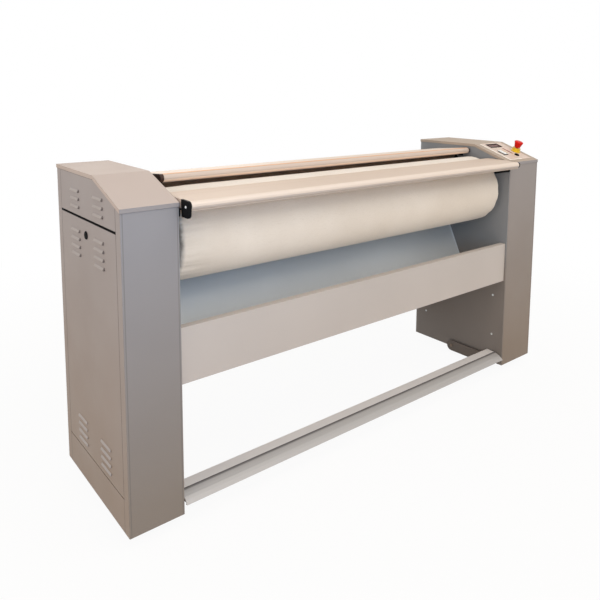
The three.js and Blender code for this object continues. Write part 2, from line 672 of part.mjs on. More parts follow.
function upperSidePanel() {
  const [y0, y1] = [POST_WIDTH + PANEL_SIDE_GAP, CABINET_DEPTH - POST_WIDTH - PANEL_SIDE_GAP];
  const bottom = SLOT_HEIGHT + SLOT_GAP / 2;
  const t = PANEL_SHEET;
  const drop = LID_SKIRT + PANEL_SIDE_GAP;
  const pan = sidePan(underLid(y0, y1, bottom, drop),
    underLid(y0 + t, y1 - t, bottom + t, drop + t));
  const height = SLOT_HEIGHT + UPPER_LOUVRE_RISE;
  const room = lidHeight(LOUVRE_FRONT_Y - LOUVRE_LENGTH / 2) - drop - height;
  const count = Math.floor(room / LOUVRE_PITCH); // as many as fit under the lid's slope
  return withLouvres(pan, [LOUVRE_REAR_Y, LOUVRE_FRONT_Y].map((y) => ({ y, height, count })));
}

function servicePanel() {
  const [y0, y1] = [POST_WIDTH + PANEL_SIDE_GAP, CABINET_DEPTH - POST_WIDTH - PANEL_SIDE_GAP];
  const [z0, z1] = [KICK_HEIGHT + PANEL_FOOT_GAP, SLOT_HEIGHT - SLOT_GAP / 2];
  const t = PANEL_SHEET;
  const rectangle = (i) => [[y0 + i, z0 + i], [y1 - i, z0 + i], [y1 - i, z1 - i], [y0 + i, z1 - i]];
  const lockHole = cylinder('x', LOCK_BARREL_RADIUS + RUNNING, -CUT, PANEL_RETURN, 20)
    .translate([0, LOCK_Y, LOCK_HEIGHT]);
  const groups = [SLOT_HEIGHT - DOOR_LOUVRE_DROP, KICK_HEIGHT + FOOT_LOUVRE_RISE].flatMap((height) =>
    [LOUVRE_REAR_Y, LOUVRE_FRONT_Y].map((y) => ({ y, height, count: DOOR_LOUVRE_COUNT })));
  const louvred = withLouvres(sidePan(rectangle(0), rectangle(t)), groups);
  return cut(louvred, lockHole);
}

/** Lock barrel with a slotted bezel outside and a cam tongue behind the panel. */
function panelLock() {
  const face = LID_OVERHANG;
  const camX = FRAME_BACK_X + SEAT;
  const bezel = face - LOCK_BEZEL_HEIGHT;
  const barrel = turned('x', [[0, bezel], [LOCK_BEZEL_RADIUS - EDGE_ROUND, bezel],
    [LOCK_BEZEL_RADIUS, bezel + EDGE_ROUND], [LOCK_BEZEL_RADIUS, face - SEAT],
    [LOCK_BARREL_RADIUS, face - SEAT], [LOCK_BARREL_RADIUS, camX + LOCK_CAM_SHEET / 2],
    [0, camX + LOCK_CAM_SHEET / 2]], 20);
  const half = LOCK_CAM_WIDTH / 2;
  const tongue = prism('x', [...arc(0, 0, half, 90, 270, 8), [LOCK_CAM_LENGTH, -half],
    [LOCK_CAM_LENGTH, half]], camX, camX + LOCK_CAM_SHEET);
  const keySlot = box(bezel - CUT, bezel + EDGE_ROUND, -LOCK_SLOT_WIDTH / 2, LOCK_SLOT_WIDTH / 2,
    -LOCK_SLOT_LENGTH / 2, LOCK_SLOT_LENGTH / 2);
  return cut(join(barrel, tongue), keySlot);
}

/** Levelling foot: a round pad, a stem and a lock nut under the cabinet's floor. */
function levellingFoot() {
  const top = FOOT_HEIGHT - SEAT;
  const padAndStem = turned('z', [[0, 0], [FOOT_RADIUS, 0], [FOOT_RADIUS, FOOT_PAD_EDGE],
    [FOOT_RADIUS - FOOT_PAD_SLOPE, FOOT_PAD], [FOOT_STEM_RADIUS, FOOT_PAD],
    [FOOT_STEM_RADIUS, top], [0, top]], 20);
  return join(padAndStem, prism('z', circle(0, 0, FOOT_NUT_RADIUS, 6), top - FOOT_NUT, top));
}

function addCabinet(side, width, group, flip) {
  const handed = (body) => (flip ? mirrored(body) : body);
  let shell = withInnerWallFittings(cabinetShell(width), width);
  const rearHole = (radius, x, z) =>
    cylinder('y', radius, REAR_FACE_Y - CUT, REAR_FACE_Y + CUT, 28).translate([x, 0, z]);
  if (side === 'left') {
    shell = cut(shell, rearHole(SPIGOT_RADIUS + 2 * SEAT, fanCentreX(),
      FAN_CENTRE_HEIGHT + FAN_RADIUS - FAN_DUCT / 2));
  } else {
    shell = cut(shell, rearHole(GLAND_NECK_RADIUS + RUNNING, width - GLAND_X, GLAND_HEIGHT));
  }
  let lid = cabinetLid(width);
  if (side === 'right') lid = cut(lid, ...consoleHoles(width));
  addPiece(`${side}_cabinet_shell`, handed(shell), GREY_PAINT, group);
  addPiece(`${side}_cabinet_lid`, handed(lid), PALE_PAINT, group);
  addPiece(`${side}_upper_panel`, handed(upperSidePanel()), GREY_PAINT, group);
  addPiece(`${side}_service_panel`, handed(servicePanel()), GREY_PAINT, group);
  const lock = addPiece(`${side}_panel_lock`, handed(panelLock()), BLACK_PLASTIC, group);
  lock.position.set(0, LOCK_Y, LOCK_HEIGHT);
  const x = (flip ? -1 : 1) * FOOT_SIDE_INSET;
  for (const [end, y] of [['front', FOOT_FRONT_Y], ['rear', CABINET_DEPTH - FOOT_REAR_INSET]]) {
    const foot = addPiece(`${side}_${end}_foot`, levellingFoot(), BLACK_PLASTIC, group);
    foot.position.set(x, y, -FOOT_HEIGHT);
  }
}

/** Middle of the fan's housing, from the left cabinet's outer side. */
function fanCentreX() {
  return LEFT_WALL_X - LID_OVERHANG - WALL_SHEET - SEAT - FAN_MOTOR_LENGTH - FAN_WIDTH / 2;
}

// ---------------------------------------------------------------- roll

/** Welded drum: a tube closed by two discs with a seat for each journal's spigot. */
function rollDrum() {
  const half = PADDING_LENGTH / 2 - PADDING_THICKNESS;
  const seat = JOURNAL_RADIUS + RUNNING;
  return turned('x', [
    [seat, -half], [DRUM_RADIUS, -half], [DRUM_RADIUS, half], [seat, half], [seat, half - DRUM_DISC],
    [DRUM_RADIUS - DRUM_WALL, half - DRUM_DISC], [DRUM_RADIUS - DRUM_WALL, DRUM_DISC - half],
    [seat, DRUM_DISC - half], [seat, -half],
  ], 48);
}

/** Flanged journal; x = 0 is the drum's end face and the shaft points to +x. */
function rollJournal(steps) {
  const shaft = steps.flatMap(([radius, from, to]) => [[radius, from], [radius, to]]);
  const end = steps[steps.length - 1][2];
  return turned('x', [[0, -DRUM_DISC], [JOURNAL_RADIUS, -DRUM_DISC], [JOURNAL_RADIUS, SEAT],
    [JOURNAL_FLANGE_RADIUS, SEAT], [JOURNAL_FLANGE_RADIUS, JOURNAL_FLANGE], ...shaft, [0, end]], 28);
}

/**
 * Padding sleeve: a cloth tube over the drum, rounded at its shoulders and drawn in over the
 * drum's ends, where it is gathered into folds round an open mouth.
 */
function rollPadding() {
  const half = PADDING_LENGTH / 2;
  const inner = DRUM_RADIUS + SEAT;
  const discGap = half - PADDING_THICKNESS + SEAT;
  const shoulder = arc(half - PADDING_SHOULDER, ROLL_RADIUS - PADDING_SHOULDER,
    PADDING_SHOULDER, 90, 0, 4);
  // [distance along the axis, radius, share of the gathers' depth]
  const outerEnd = shoulder.map(([along, radius], i) => [along, radius, i / 8]);
  const section = [
    ...outerEnd,
    [half - PADDING_END_DISH, (ROLL_RADIUS - PADDING_SHOULDER + PADDING_MOUTH_RADIUS) / 2, 1],
    [half - GATHER_DEPTH, PADDING_MOUTH_RADIUS, 1],
    [discGap, PADDING_MOUTH_RADIUS, 0],
    [discGap, inner, 0],
  ];
  const mirroredEnd = section.map(([along, radius, share]) => [-along, radius, share]).reverse();
  const profile = [...section, ...mirroredEnd];
  const segments = 4 * PADDING_GATHERS;
  const rings = Array.from({ length: segments }, (_, i) => {
    const angle = (2 * Math.PI * i) / segments;
    const fold = (1 - Math.cos(PADDING_GATHERS * angle)) / 2;
    return profile.map(([along, radius, share]) => [
      along - Math.sign(along) * fold * share * GATHER_DEPTH,
      radius * Math.cos(angle), radius * Math.sin(angle)]);
  });
  return loft(rings, true);
}

/** Square flanged bearing with chamfered corners, its face at x = 0 and its body to -x. */
function bearingBlock() {
  const half = BEARING_SIZE / 2;
  const corner = BEARING_CORNER;
  const corners = [[1, 1], [-1, 1], [-1, -1], [1, -1]].flatMap(([a, b], i) => {
    const points = [[a * half, b * (half - corner)], [a * (half - corner), b * half]];
    return i % 2 ? points.reverse() : points;
  });
  const flange = prism('x', corners, -BEARING_FLANGE, 0);
  const hub = cylinder('x', half - BEARING_HUB_INSET, -BEARING_WIDTH, -BEARING_FLANGE / 2, 28);
  return cut(join(flange, hub), cylinder('x', JOURNAL_RADIUS + RUNNING, -FAR, FAR, 28));
}

function addRoll() {
  const centre = (LEFT_WALL_X + RIGHT_WALL_X) / 2;
  const roll = addGroup(centre, ROLL_Y, ROLL_HEIGHT);
  const drumEnd = PADDING_LENGTH / 2 - PADDING_THICKNESS;
  const toWall = ROLL_END_GAP + PADDING_THICKNESS;
  addPiece('roll_drum', rollDrum(), STEEL, roll);
  addPiece('roll_padding', rollPadding(), CLOTH, roll);
  const idle = rollJournal([[JOURNAL_RADIUS, JOURNAL_FLANGE,
    toWall + LID_OVERHANG + WALL_SHEET + IDLE_JOURNAL_REACH]]);
  const stepAt = toWall + REDUCER_WALL_GAP - JOURNAL_STEP_BACK;
  const drive = rollJournal([[JOURNAL_RADIUS, JOURNAL_FLANGE, stepAt],
    [DRIVE_JOURNAL_RADIUS, stepAt, toWall + REDUCER_WALL_GAP + REDUCER_WIDTH + JOURNAL_END]]);
  addPiece('roll_idle_journal', mirrored(idle), STEEL, roll).position.x = -drumEnd;
  addPiece('roll_drive_journal', drive, STEEL, roll).position.x = drumEnd;
  const wallInside = CABINET_GAP / 2 + LID_OVERHANG + WALL_SHEET + SEAT;
  addPiece('left_bearing_block', bearingBlock(), MOTOR_PAINT, roll).position.x = -wallInside;
  addPiece('right_bearing_block', mirrored(bearingBlock()), MOTOR_PAINT, roll).position.x = wallInside;
}

// ---------------------------------------------------------------- heated chest

/** Outline of a ring sector round the roll's axis, as [y, z] points. */
const sector = (inner, outer, from, to, steps) => [
  ...arc(0, 0, outer, from, to, steps), ...arc(0, 0, inner, to, from, steps)];

/** Insulating jacket: a curved sheet whose two edges turn in to the chest's back. */
function chestJacket(half) {
  const back = CHEST_BACK_RADIUS + SEAT;
  const edge = JACKET_EDGE_ANGLE;
  const [low, high] = [JACKET_BOTTOM_ANGLE, JACKET_TOP_ANGLE];
  return prism('x', [
    ...arc(0, 0, JACKET_RADIUS, low, high, 18), ...arc(0, 0, back, high, high - edge, 1),
    ...arc(0, 0, JACKET_RADIUS - JACKET_SHEET, high - edge, low + edge, 18),
    ...arc(0, 0, back, low + edge, low, 1),
  ], -half, half);
}

/** Serpentine tubular heater: runs along x joined by half-round bends on the chest's back. */
function heatingElement(half) {
  const radius = CHEST_BACK_RADIUS + SEAT + HEATER_RADIUS;
  const bendSteps = 5;
  const bend = radius * radians(HEATER_STEP_ANGLE) / 2;
  const stations = []; // [x, angle round the roll, share of the direction along x, share down]
  for (let run = 0; run < HEATER_RUNS; run += 1) {
    const angle = HEATER_TOP_ANGLE - run * HEATER_STEP_ANGLE;
    const side = run % 2 ? -1 : 1;
    const reach = side * (half - bend);
    stations.push([-reach, angle, side, 0], [reach, angle, side, 0]);
    for (let i = 1; i < bendSteps && run < HEATER_RUNS - 1; i += 1) {
      const turn = (Math.PI * i) / bendSteps;
      stations.push([reach + side * bend * Math.sin(turn),
        angle - (HEATER_STEP_ANGLE * (1 - Math.cos(turn))) / 2, side * Math.cos(turn), Math.sin(turn)]);
    }
  }
  const rings = stations.map(([x, angle, alongX, down]) => {
    const [c, s] = [Math.cos(radians(angle)), Math.sin(radians(angle))];
    const centre = new THREE.Vector3(x, radius * c, radius * s);
    const outward = new THREE.Vector3(0, c, s);
    const across = new THREE.Vector3(alongX, down * s, -down * c).cross(outward);
    return circle(0, 0, HEATER_RADIUS, 6).map(([a, b]) =>
      centre.clone().addScaledVector(outward, a).addScaledVector(across, -b).toArray());
  });
  return loft(rings);
}

/** Chest end plate: a ring sector on a leg that runs down behind the chute to the pivot boss. */
function chestArm(pivotY, pivotZ, withLever) {
  const boss = CHEST_ARM_BOSS_RADIUS;
  const plate = prism('x', sector(CHEST_RADIUS + CHEST_ARM_SETBACK, JACKET_RADIUS,
    CHEST_ARM_BOTTOM_ANGLE, CHEST_ARM_TOP_ANGLE, 20), 0, CHEST_ARM_SHEET);
  const footZ = FRONT_PANEL_BOTTOM - ROLL_HEIGHT;
  const lean = (CHUTE_TOP_SETBACK - CHUTE_FOOT_SETBACK) / (-CHUTE_TOP_DROP - footZ);
  const behindChute = (gap, z) => [CHUTE_FOOT_SETBACK + (z - footZ) * lean + gap, z];
  const [front, back] = [CHEST_LEG_GAP, CHEST_LEG_GAP + CHEST_LEG_WIDTH];
  const overChute = [CHUTE_TOP_SETBACK + CHEST_LEG_GAP / 2, CHEST_LEG_GAP - CHUTE_TOP_DROP];
  const leg = prism('x', [
    [JACKET_RADIUS, 0], [JACKET_RADIUS + CHEST_LEG_SHOULDER, -JACKET_RADIUS / 2],
    behindChute(back, -JACKET_RADIUS), behindChute(back, pivotZ + 2 * boss),
    [pivotY + boss, pivotZ], [pivotY - boss, pivotZ], behindChute(front, pivotZ + 2 * boss),
    behindChute(front, -JACKET_RADIUS), overChute,
    ...arc(0, 0, JACKET_RADIUS - SEAT, CHEST_FOOT_LOW_ANGLE, CHEST_FOOT_HIGH_ANGLE, 4),
  ], 0, CHEST_ARM_SHEET);
  const pivotBoss = cylinder('x', boss, 0, CHEST_ARM_SHEET).translate([0, pivotY, pivotZ]);
  let arm = join(plate, leg, pivotBoss);
  if (withLever) {
    const [y, root, end] = [pivotY + CHEST_LEVER, CHEST_LEVER_ROOT, CHEST_LEVER_END];
    const lever = prism('x', [[pivotY, pivotZ - root], ...arc(y, pivotZ, end, -90, 90, 8),
      [pivotY, pivotZ + root]], 0, CHEST_ARM_SHEET);
    const pin = cylinder('x', LINK_PIN_RADIUS, CHEST_ARM_SHEET / 2,
      CHEST_ARM_SHEET + LINK_EYE_WIDTH + LINK_PIN_END, 16).translate([0, y, pivotZ]);
    arm = join(arm, lever, pin);
  }
  return cut(arm, cylinder('x', CHEST_SHAFT_RADIUS + RUNNING, -FAR, FAR)
    .translate([0, pivotY, pivotZ]));
}

/** Round bar on which the chest swings, with a collar inside each arm. */
function chestShaft(half) {
  const collar = CHEST_SHAFT_RADIUS + CHEST_COLLAR_RISE;
  const outside = CABINET_GAP / 2 - CHEST_END_GAP - SEAT;
  const inside = outside - CHEST_COLLAR_WIDTH;
  const end = half + CHEST_SHAFT_END;
  const right = [[CHEST_SHAFT_RADIUS, inside], [collar, inside], [collar, outside],
    [CHEST_SHAFT_RADIUS, outside], [CHEST_SHAFT_RADIUS, end], [0, end]];
  const left = right.map(([radius, along]) => [radius, -along]).reverse();
  return turned('x', [...left, ...right], 24);
}

function addChest() {
  const centre = (LEFT_WALL_X + RIGHT_WALL_X) / 2;
  const pivot = addGroup(centre, CHEST_PIVOT_Y, CHEST_PIVOT_HEIGHT, -CHEST_SWING);
  addPiece('chest_pivot_shaft', chestShaft(CABINET_GAP / 2), STEEL, pivot);
  const [pivotY, pivotZ] = [CHEST_PIVOT_Y - ROLL_Y, CHEST_PIVOT_HEIGHT - ROLL_HEIGHT];
  const chest = addGroup(0, -pivotY, -pivotZ, 0, pivot);
  const half = CABINET_GAP / 2 - CHEST_END_GAP;
  const shell = prism('x',
    sector(CHEST_RADIUS, CHEST_BACK_RADIUS, CHEST_BOTTOM_ANGLE, CHEST_TOP_ANGLE, 28), -half, half);
  addPiece('heated_chest', shell, CHEST_ALUMINIUM, chest);
  addPiece('chest_jacket', chestJacket(half), STEEL, chest);
  addPiece('heating_element', heatingElement(half - HEATER_END_GAP), STEEL, chest);
  const armAt = half + SEAT;
  addPiece('chest_left_arm', chestArm(pivotY, pivotZ, true), INNER_PAINT, chest)
    .position.x = -armAt - CHEST_ARM_SHEET;
  addPiece('chest_right_arm', chestArm(pivotY, pivotZ, false), INNER_PAINT, chest)
    .position.x = armAt;
}

// ---------------------------------------------------------------- boards over the roll

/** Board section from its nose (u = 0) to its thin back edge, underside at w = 0. */
function boardSection(depth, inset = 0) {
  const r = BOARD_THICKNESS / 2;
  const rise = BOARD_THICKNESS - BOARD_BACK_EDGE;
  const slope = Math.atan2(rise, depth - BOARD_FLAT);
  const shift = inset * Math.tan(slope / 2);
  const back = depth - inset;
  const backUnderside = rise - (inset * (Math.sin(slope) - 1)) / Math.cos(slope);
  return [
    ...arc(r, r, r - inset, 90, 270, 8),
    [BOARD_FLAT - shift, inset],
    [back, Math.min(backUnderside, BOARD_THICKNESS - inset - BOARD_HOLLOW_EDGE)],
    [back, BOARD_THICKNESS - inset],
  ];
}

/** Hollow board, open at both ends. */
const hollowBoard = (depth, from, to) =>
  prism('x', boardSection(depth), from, to, [boardSection(depth - BOARD_BACK_SOLID, BOARD_WALL).reverse()]);

function addFeedBoard() {
  const board = addGroup(0, FEED_BOARD_Y, ROLL_TOP - FEED_BOARD_DROP, FEED_BOARD_TILT);
  const [leftCap, rightCap] = [LEFT_WALL_X + FEED_BOARD_END_GAP, RIGHT_WALL_X - FEED_BOARD_END_GAP];
  const from = leftCap + BOARD_CAP + SEAT;
  const to = rightCap - BOARD_CAP - SEAT;
  addPiece('feed_board', hollowBoard(FEED_BOARD_DEPTH, from, to), BOARD_ALUMINIUM, board);
  const cap = (x) => prism('x', boardSection(FEED_BOARD_DEPTH), x, x + BOARD_CAP);
  const [start, end, foot] = [FEED_CAP_START, FEED_BRACKET_START - SEAT, -FEED_CAP_DROP];
  const lobe = [[start, BOARD_THICKNESS / 2],
    ...arc(start + FEED_CAP_CORNER, foot + FEED_CAP_CORNER, FEED_CAP_CORNER, 180, 270, 5),
    [end, foot], [end, BOARD_THICKNESS / 2]];
  const leftPiece = join(cap(leftCap), prism('x', lobe, leftCap, leftCap + BOARD_CAP));
  addPiece('feed_board_left_cap', leftPiece, BLACK_PLASTIC, board);
  addPiece('feed_board_right_cap', cap(rightCap - BOARD_CAP), BLACK_PLASTIC, board);
  addPiece('feed_board_left_bracket', feedBracket(LEFT_FACE_X + SEAT), BLACK_PLASTIC, board);
  addPiece('feed_board_right_bracket', mirrored(feedBracket(SEAT)), BLACK_PLASTIC, board)
    .position.x = RIGHT_FACE_X;
}

/** Angle bracket on a cabinet's inner side that carries one end of the feed board. */
function feedBracket(x) {
  const [u0, u1] = [FEED_BRACKET_START, FEED_BRACKET_END];
  const top = -SEAT;
  const t = FEED_BRACKET_SHEET;
  const side = prism('x', [[u0, top - FEED_BRACKET_TIP], [u1, top - FEED_BRACKET_DROP],
    [u1, top], [u0, top]], x, x + t);
  const shelf = box(x + t / 2, x + FEED_BRACKET_SHELF, u0, u1, top - t, top);
  return join(side, shelf);
}

function addFingerGuard() {
  const guard = addGroup(0, ROLL_Y + GUARD_SETBACK, GUARD_HEIGHT, GUARD_TILT);
  const leftFace = LEFT_WALL_X + GUARD_LEFT_GAP;
  const rightFace = RIGHT_WALL_X - GUARD_RIGHT_GAP;
  const from = leftFace + GUARD_LEFT_CAP + SEAT;
  const to = rightFace - BOARD_CAP - SEAT;
  addPiece('finger_guard', hollowBoard(GUARD_DEPTH, from, to), BOARD_ALUMINIUM, guard);
  const hinge = [0, GUARD_HINGE_U, GUARD_HINGE_W];
  const bore = cylinder('x', GUARD_PIN_RADIUS + RUNNING, -FAR, FAR, 16).translate(hinge);
  const eye = (x0, x1) => cylinder('x', GUARD_BRACKET_RADIUS, x0, x1, 20).translate(hinge);
  const cap = (x, width) => cut(
    join(prism('x', boardSection(GUARD_DEPTH), x, x + width), eye(x, x + width)), bore);
  addPiece('finger_guard_left_cap', cap(leftFace, GUARD_LEFT_CAP), BLACK_PLASTIC, guard);
  addPiece('finger_guard_right_cap', cap(rightFace - BOARD_CAP, BOARD_CAP), BLACK_PLASTIC, guard);
  const leftReach = leftFace - LEFT_FACE_X - SEAT;
  addPiece('finger_guard_left_bracket', guardBracket(leftReach, GUARD_LEFT_CAP),
    BLACK_PLASTIC, guard).position.x = LEFT_FACE_X;
  const leftStop = guardStop(GUARD_LEFT_STOP_U, GUARD_LEFT_STOP_LENGTH, leftReach + GUARD_LEFT_CAP);
  addPiece('finger_guard_left_stop', leftStop, BLACK_PLASTIC, guard).position.x = LEFT_FACE_X;
  const rightReach = RIGHT_FACE_X - rightFace - SEAT;
  const rightStop = guardStop(GUARD_RIGHT_STOP_U, GUARD_RIGHT_STOP_LENGTH,
    rightReach + BOARD_CAP - GUARD_STOP_SHORT);
  addPiece('finger_guard_right_stop', mirrored(rightStop), BLACK_PLASTIC, guard)
    .position.x = RIGHT_FACE_X;
  addPiece('finger_guard_right_bracket', mirrored(guardBracket(rightReach, BOARD_CAP)),
    BLACK_PLASTIC, guard).position.x = RIGHT_FACE_X;
}

/** Angle under the guard's cap, on which the guard lies; x = 0 is the wall's face. */
function guardStop(start, length, reach) {
  const [top, t] = [-SEAT, GUARD_STOP_SHEET];
  return join(box(SEAT, reach, start, start + length, top - t, top),
    box(SEAT, SEAT + t, start, start + length, top - GUARD_STOP_DEPTH, top));
}

/** Hinge bracket of the finger guard: a wall plate, a boss up to the cap and its pin. */
function guardBracket(reach, capWidth) {
  const [u, w] = [GUARD_HINGE_U, GUARD_HINGE_W];
  const half = GUARD_PLATE_HALF;
  const wallPlate = box(SEAT, SEAT + GUARD_PLATE_SHEET, u - half, u + half, w - half,
    w + GUARD_BRACKET_RADIUS);
  const start = SEAT + GUARD_PLATE_SHEET / 2;
  const boss = cylinder('x', GUARD_BRACKET_RADIUS, start, reach, 20);
  const pin = cylinder('x', GUARD_PIN_RADIUS, start, reach + capWidth - SEAT, 16);
  return join(wallPlate, boss.translate([0, u, w]), pin.translate([0, u, w]));
}

// ---------------------------------------------------------------- panels between the cabinets

function addCrossPanels() {
  const [from, to] = [LEFT_FACE_X + SEAT, RIGHT_FACE_X - SEAT];
  const t = CROSS_SHEET;
  const y = FRONT_PANEL_Y;
  const front = foldedSheet([[y + FRONT_PANEL_FLANGE, FRONT_PANEL_BOTTOM], [y, FRONT_PANEL_BOTTOM],
    [y, FRONT_PANEL_TOP], [y + FRONT_PANEL_FLANGE, FRONT_PANEL_TOP]].reverse(), t);
  addPiece('front_cross_panel', prism('x', front, from, to), CROSS_PAINT);

  // linen chute: upstand, floor, bend and the steep slope that runs up behind the roll
  const floor = FRONT_PANEL_BOTTOM + t + SEAT;
  const start = y + t + SEAT;
  const [topY, topZ] = [ROLL_Y + CHUTE_TOP_SETBACK, ROLL_HEIGHT - CHUTE_TOP_DROP];
  const footY = ROLL_Y + CHUTE_FOOT_SETBACK;
  const slope = degrees(Math.atan2(topZ - FRONT_PANEL_BOTTOM, topY - footY));
  const bendStart = footY - CHUTE_BEND_RADIUS * Math.tan(radians(slope / 2));
  const chute = foldedSheet([[start, floor + CHUTE_UPSTAND], [start, floor],
    ...arc(bendStart, floor + CHUTE_BEND_RADIUS, CHUTE_BEND_RADIUS, -90, slope - 90, 5),
    [topY, topZ]], t);
  addPiece('linen_chute', prism('x', chute, from, to), CHUTE_PAINT);

  const coverTop = CABINET_HEIGHT - REAR_COVER_DROP;
  const cover = foldedSheet([[REAR_COVER_Y - REAR_COVER_FLANGE, REAR_COVER_BOTTOM],
    [REAR_COVER_Y, REAR_COVER_BOTTOM], [REAR_COVER_Y, coverTop],
    [REAR_COVER_Y - REAR_COVER_FLANGE, coverTop]], t);
  addPiece('rear_cover', prism('x', cover, from, to), GREY_PAINT);

  // midway between the chest's legs and the cover
  const beamY = (ROLL_Y + JACKET_RADIUS + CHEST_LEG_SHOULDER + REAR_COVER_Y - BEAM_DEPTH) / 2;
  const beamZ = ROLL_HEIGHT - BEAM_DROP;
  const rectangle = (i) => [[beamY + i, beamZ + i], [beamY + BEAM_DEPTH - i, beamZ + i],
    [beamY + BEAM_DEPTH - i, beamZ + BEAM_RISE - i], [beamY + i, beamZ + BEAM_RISE - i]];
  addPiece('rear_cross_beam',
    prism('x', rectangle(0), from, to, [rectangle(BEAM_WALL).reverse()]), INNER_PAINT);
}

// ---------------------------------------------------------------- foot bar

/** Bar section: flat tread, ridge, bulged front face and a lip turned in at its foot. */
function barLine() {
  const steps = 4;
  const [runY, fallZ] = [BAR_FRONT_Y - BAR_RIDGE_Y, BAR_BOTTOM - BAR_RIDGE_HEIGHT];
  const length = Math.hypot(runY, fallZ);
  const face = Array.from({ length: steps - 1 }, (_, i) => {
    const share = (i + 1) / steps;
    const out = (BAR_BULGE * Math.sin(Math.PI * share)) / length;
    return [BAR_RIDGE_Y + runY * share + fallZ * out, BAR_RIDGE_HEIGHT + fallZ * share - runY * out];
  });
  return [[BAR_BACK_Y, BAR_TOP - BAR_BACK_LIP], [BAR_BACK_Y, BAR_TOP], [BAR_RIDGE_Y, BAR_RIDGE_HEIGHT],
    ...face, [BAR_FRONT_Y, BAR_BOTTOM], [BAR_FRONT_Y + BAR_FOOT_LIP, BAR_BOTTOM - BAR_FOOT_FALL]];
}

/** Arm beside a cabinet: an eye on the pivot pin, a lug in the bar and, at the left, a tail. */
function pedalArm(withTail) {
  const [y, z, r] = [PEDAL_PIVOT_Y, PEDAL_PIVOT_HEIGHT, PEDAL_EYE_RADIUS];
  const under = BAR_SHEET + SEAT;
  const lipFoot = BAR_TOP - BAR_BACK_LIP - under;
  const outline = [
    ...arc(y, z, r, -90, 90, 12), [BAR_BACK_Y + 2 * PEDAL_ARM_NOSE, z + r],
    [BAR_BACK_Y + SEAT, lipFoot], [BAR_BACK_Y - under, lipFoot], [BAR_BACK_Y - under, BAR_TOP - under],
    [BAR_RIDGE_Y + BAR_SHEET, BAR_RIDGE_HEIGHT - under],
    [BAR_FRONT_Y + BAR_FOOT_LIP, BAR_BOTTOM + BAR_SHEET],
    [BAR_BACK_Y - PEDAL_ARM_NOSE, BAR_BOTTOM - BAR_FOOT_FALL], [y - PEDAL_ARM_NECK, z - r],
  ];
  let arm = prism('x', outline, 0, PEDAL_ARM_SHEET);
  if (withTail) {
    const [tailY, tailZ] = [y + PEDAL_TAIL, z - PEDAL_TAIL_DROP];
    const tail = [[y, z - PEDAL_TAIL_ROOT], ...arc(tailY, tailZ, PEDAL_TAIL_END, -90, 90, 8),
      [y, z + PEDAL_TAIL_ROOT]];
    const pin = cylinder('x', LINK_PIN_RADIUS, PEDAL_ARM_SHEET / 2,
      PEDAL_ARM_SHEET + LINK_SIDE_GAP + LINK_EYE_WIDTH + LINK_PIN_END / 2, 16);
    arm = join(arm, prism('x', tail, 0, PEDAL_ARM_SHEET), pin.translate([0, tailY, tailZ]));
  }
  return cut(arm, cylinder('x', PEDAL_PIN_RADIUS + RUNNING, -FAR, FAR, 20).translate([0, y, z]));
}

function addFootBar() {
  const [from, to] = [LEFT_WALL_X + BAR_END_GAP, RIGHT_WALL_X - BAR_END_GAP];
  const grooveY = BAR_RIDGE_Y + BAR_GROOVE_INSET;
  const groove = box(-FAR, FAR, grooveY, grooveY + BAR_GROOVE_WIDTH,
    BAR_RIDGE_HEIGHT - BAR_GROOVE_DEPTH, FAR);
  const bar = cut(prism('x', foldedSheet(barLine(), BAR_SHEET), from, to), groove);
  addPiece('foot_bar', bar, BAR_ALUMINIUM);
  const gap = PEDAL_WALL_GAP;
  addPiece('pedal_left_arm', pedalArm(true), INNER_PAINT).position.x = LEFT_WALL_X + gap;
  addPiece('pedal_right_arm', mirrored(pedalArm(false)), INNER_PAINT).position.x = RIGHT_WALL_X - gap;
}

/** Link rod from the pedal arm's tail up to the chest's lever, with an eye at each end. */
function addLinkRod() {
  const lowY = PEDAL_PIVOT_Y + PEDAL_TAIL;
  const lowZ = PEDAL_PIVOT_HEIGHT - PEDAL_TAIL_DROP;
  const swing = radians(-CHEST_SWING);
  const highY = CHEST_PIVOT_Y + CHEST_LEVER * Math.cos(swing);
  const highZ = CHEST_PIVOT_HEIGHT + CHEST_LEVER * Math.sin(swing);
  const length = Math.hypot(highY - lowY, highZ - lowZ);
  const lean = degrees(Math.atan2(lowY - highY, highZ - lowZ));
  const eye = (z) => cylinder('x', LINK_EYE_RADIUS, 0, LINK_EYE_WIDTH, 20).translate([0, 0, z]);
  const inEye = LINK_PIN_RADIUS + LINK_FREE_CLEARANCE + SEAT; // start of the rod, clear of the bores
  const rod = cylinder('z', LINK_ROD_RADIUS, inEye, length - inEye, 12)
    .translate([LINK_EYE_WIDTH / 2, 0, 0]);
  const flats = box(0, LINK_EYE_WIDTH, -FAR, FAR, -FAR, FAR);
  const body = cut(join(eye(0), eye(length), rod.intersect(flats)),
    cylinder('x', LINK_PIN_RADIUS + RUNNING, -FAR, FAR, 16),
    cylinder('x', LINK_PIN_RADIUS + LINK_FREE_CLEARANCE, -FAR, FAR, 16).translate([0, 0, length]));
  const group = addGroup(LEFT_WALL_X + LINK_X, lowY, lowZ, lean);
  addPiece('pedal_link_rod', body, STEEL, group);
}

// ---------------------------------------------------------------- drive and fan

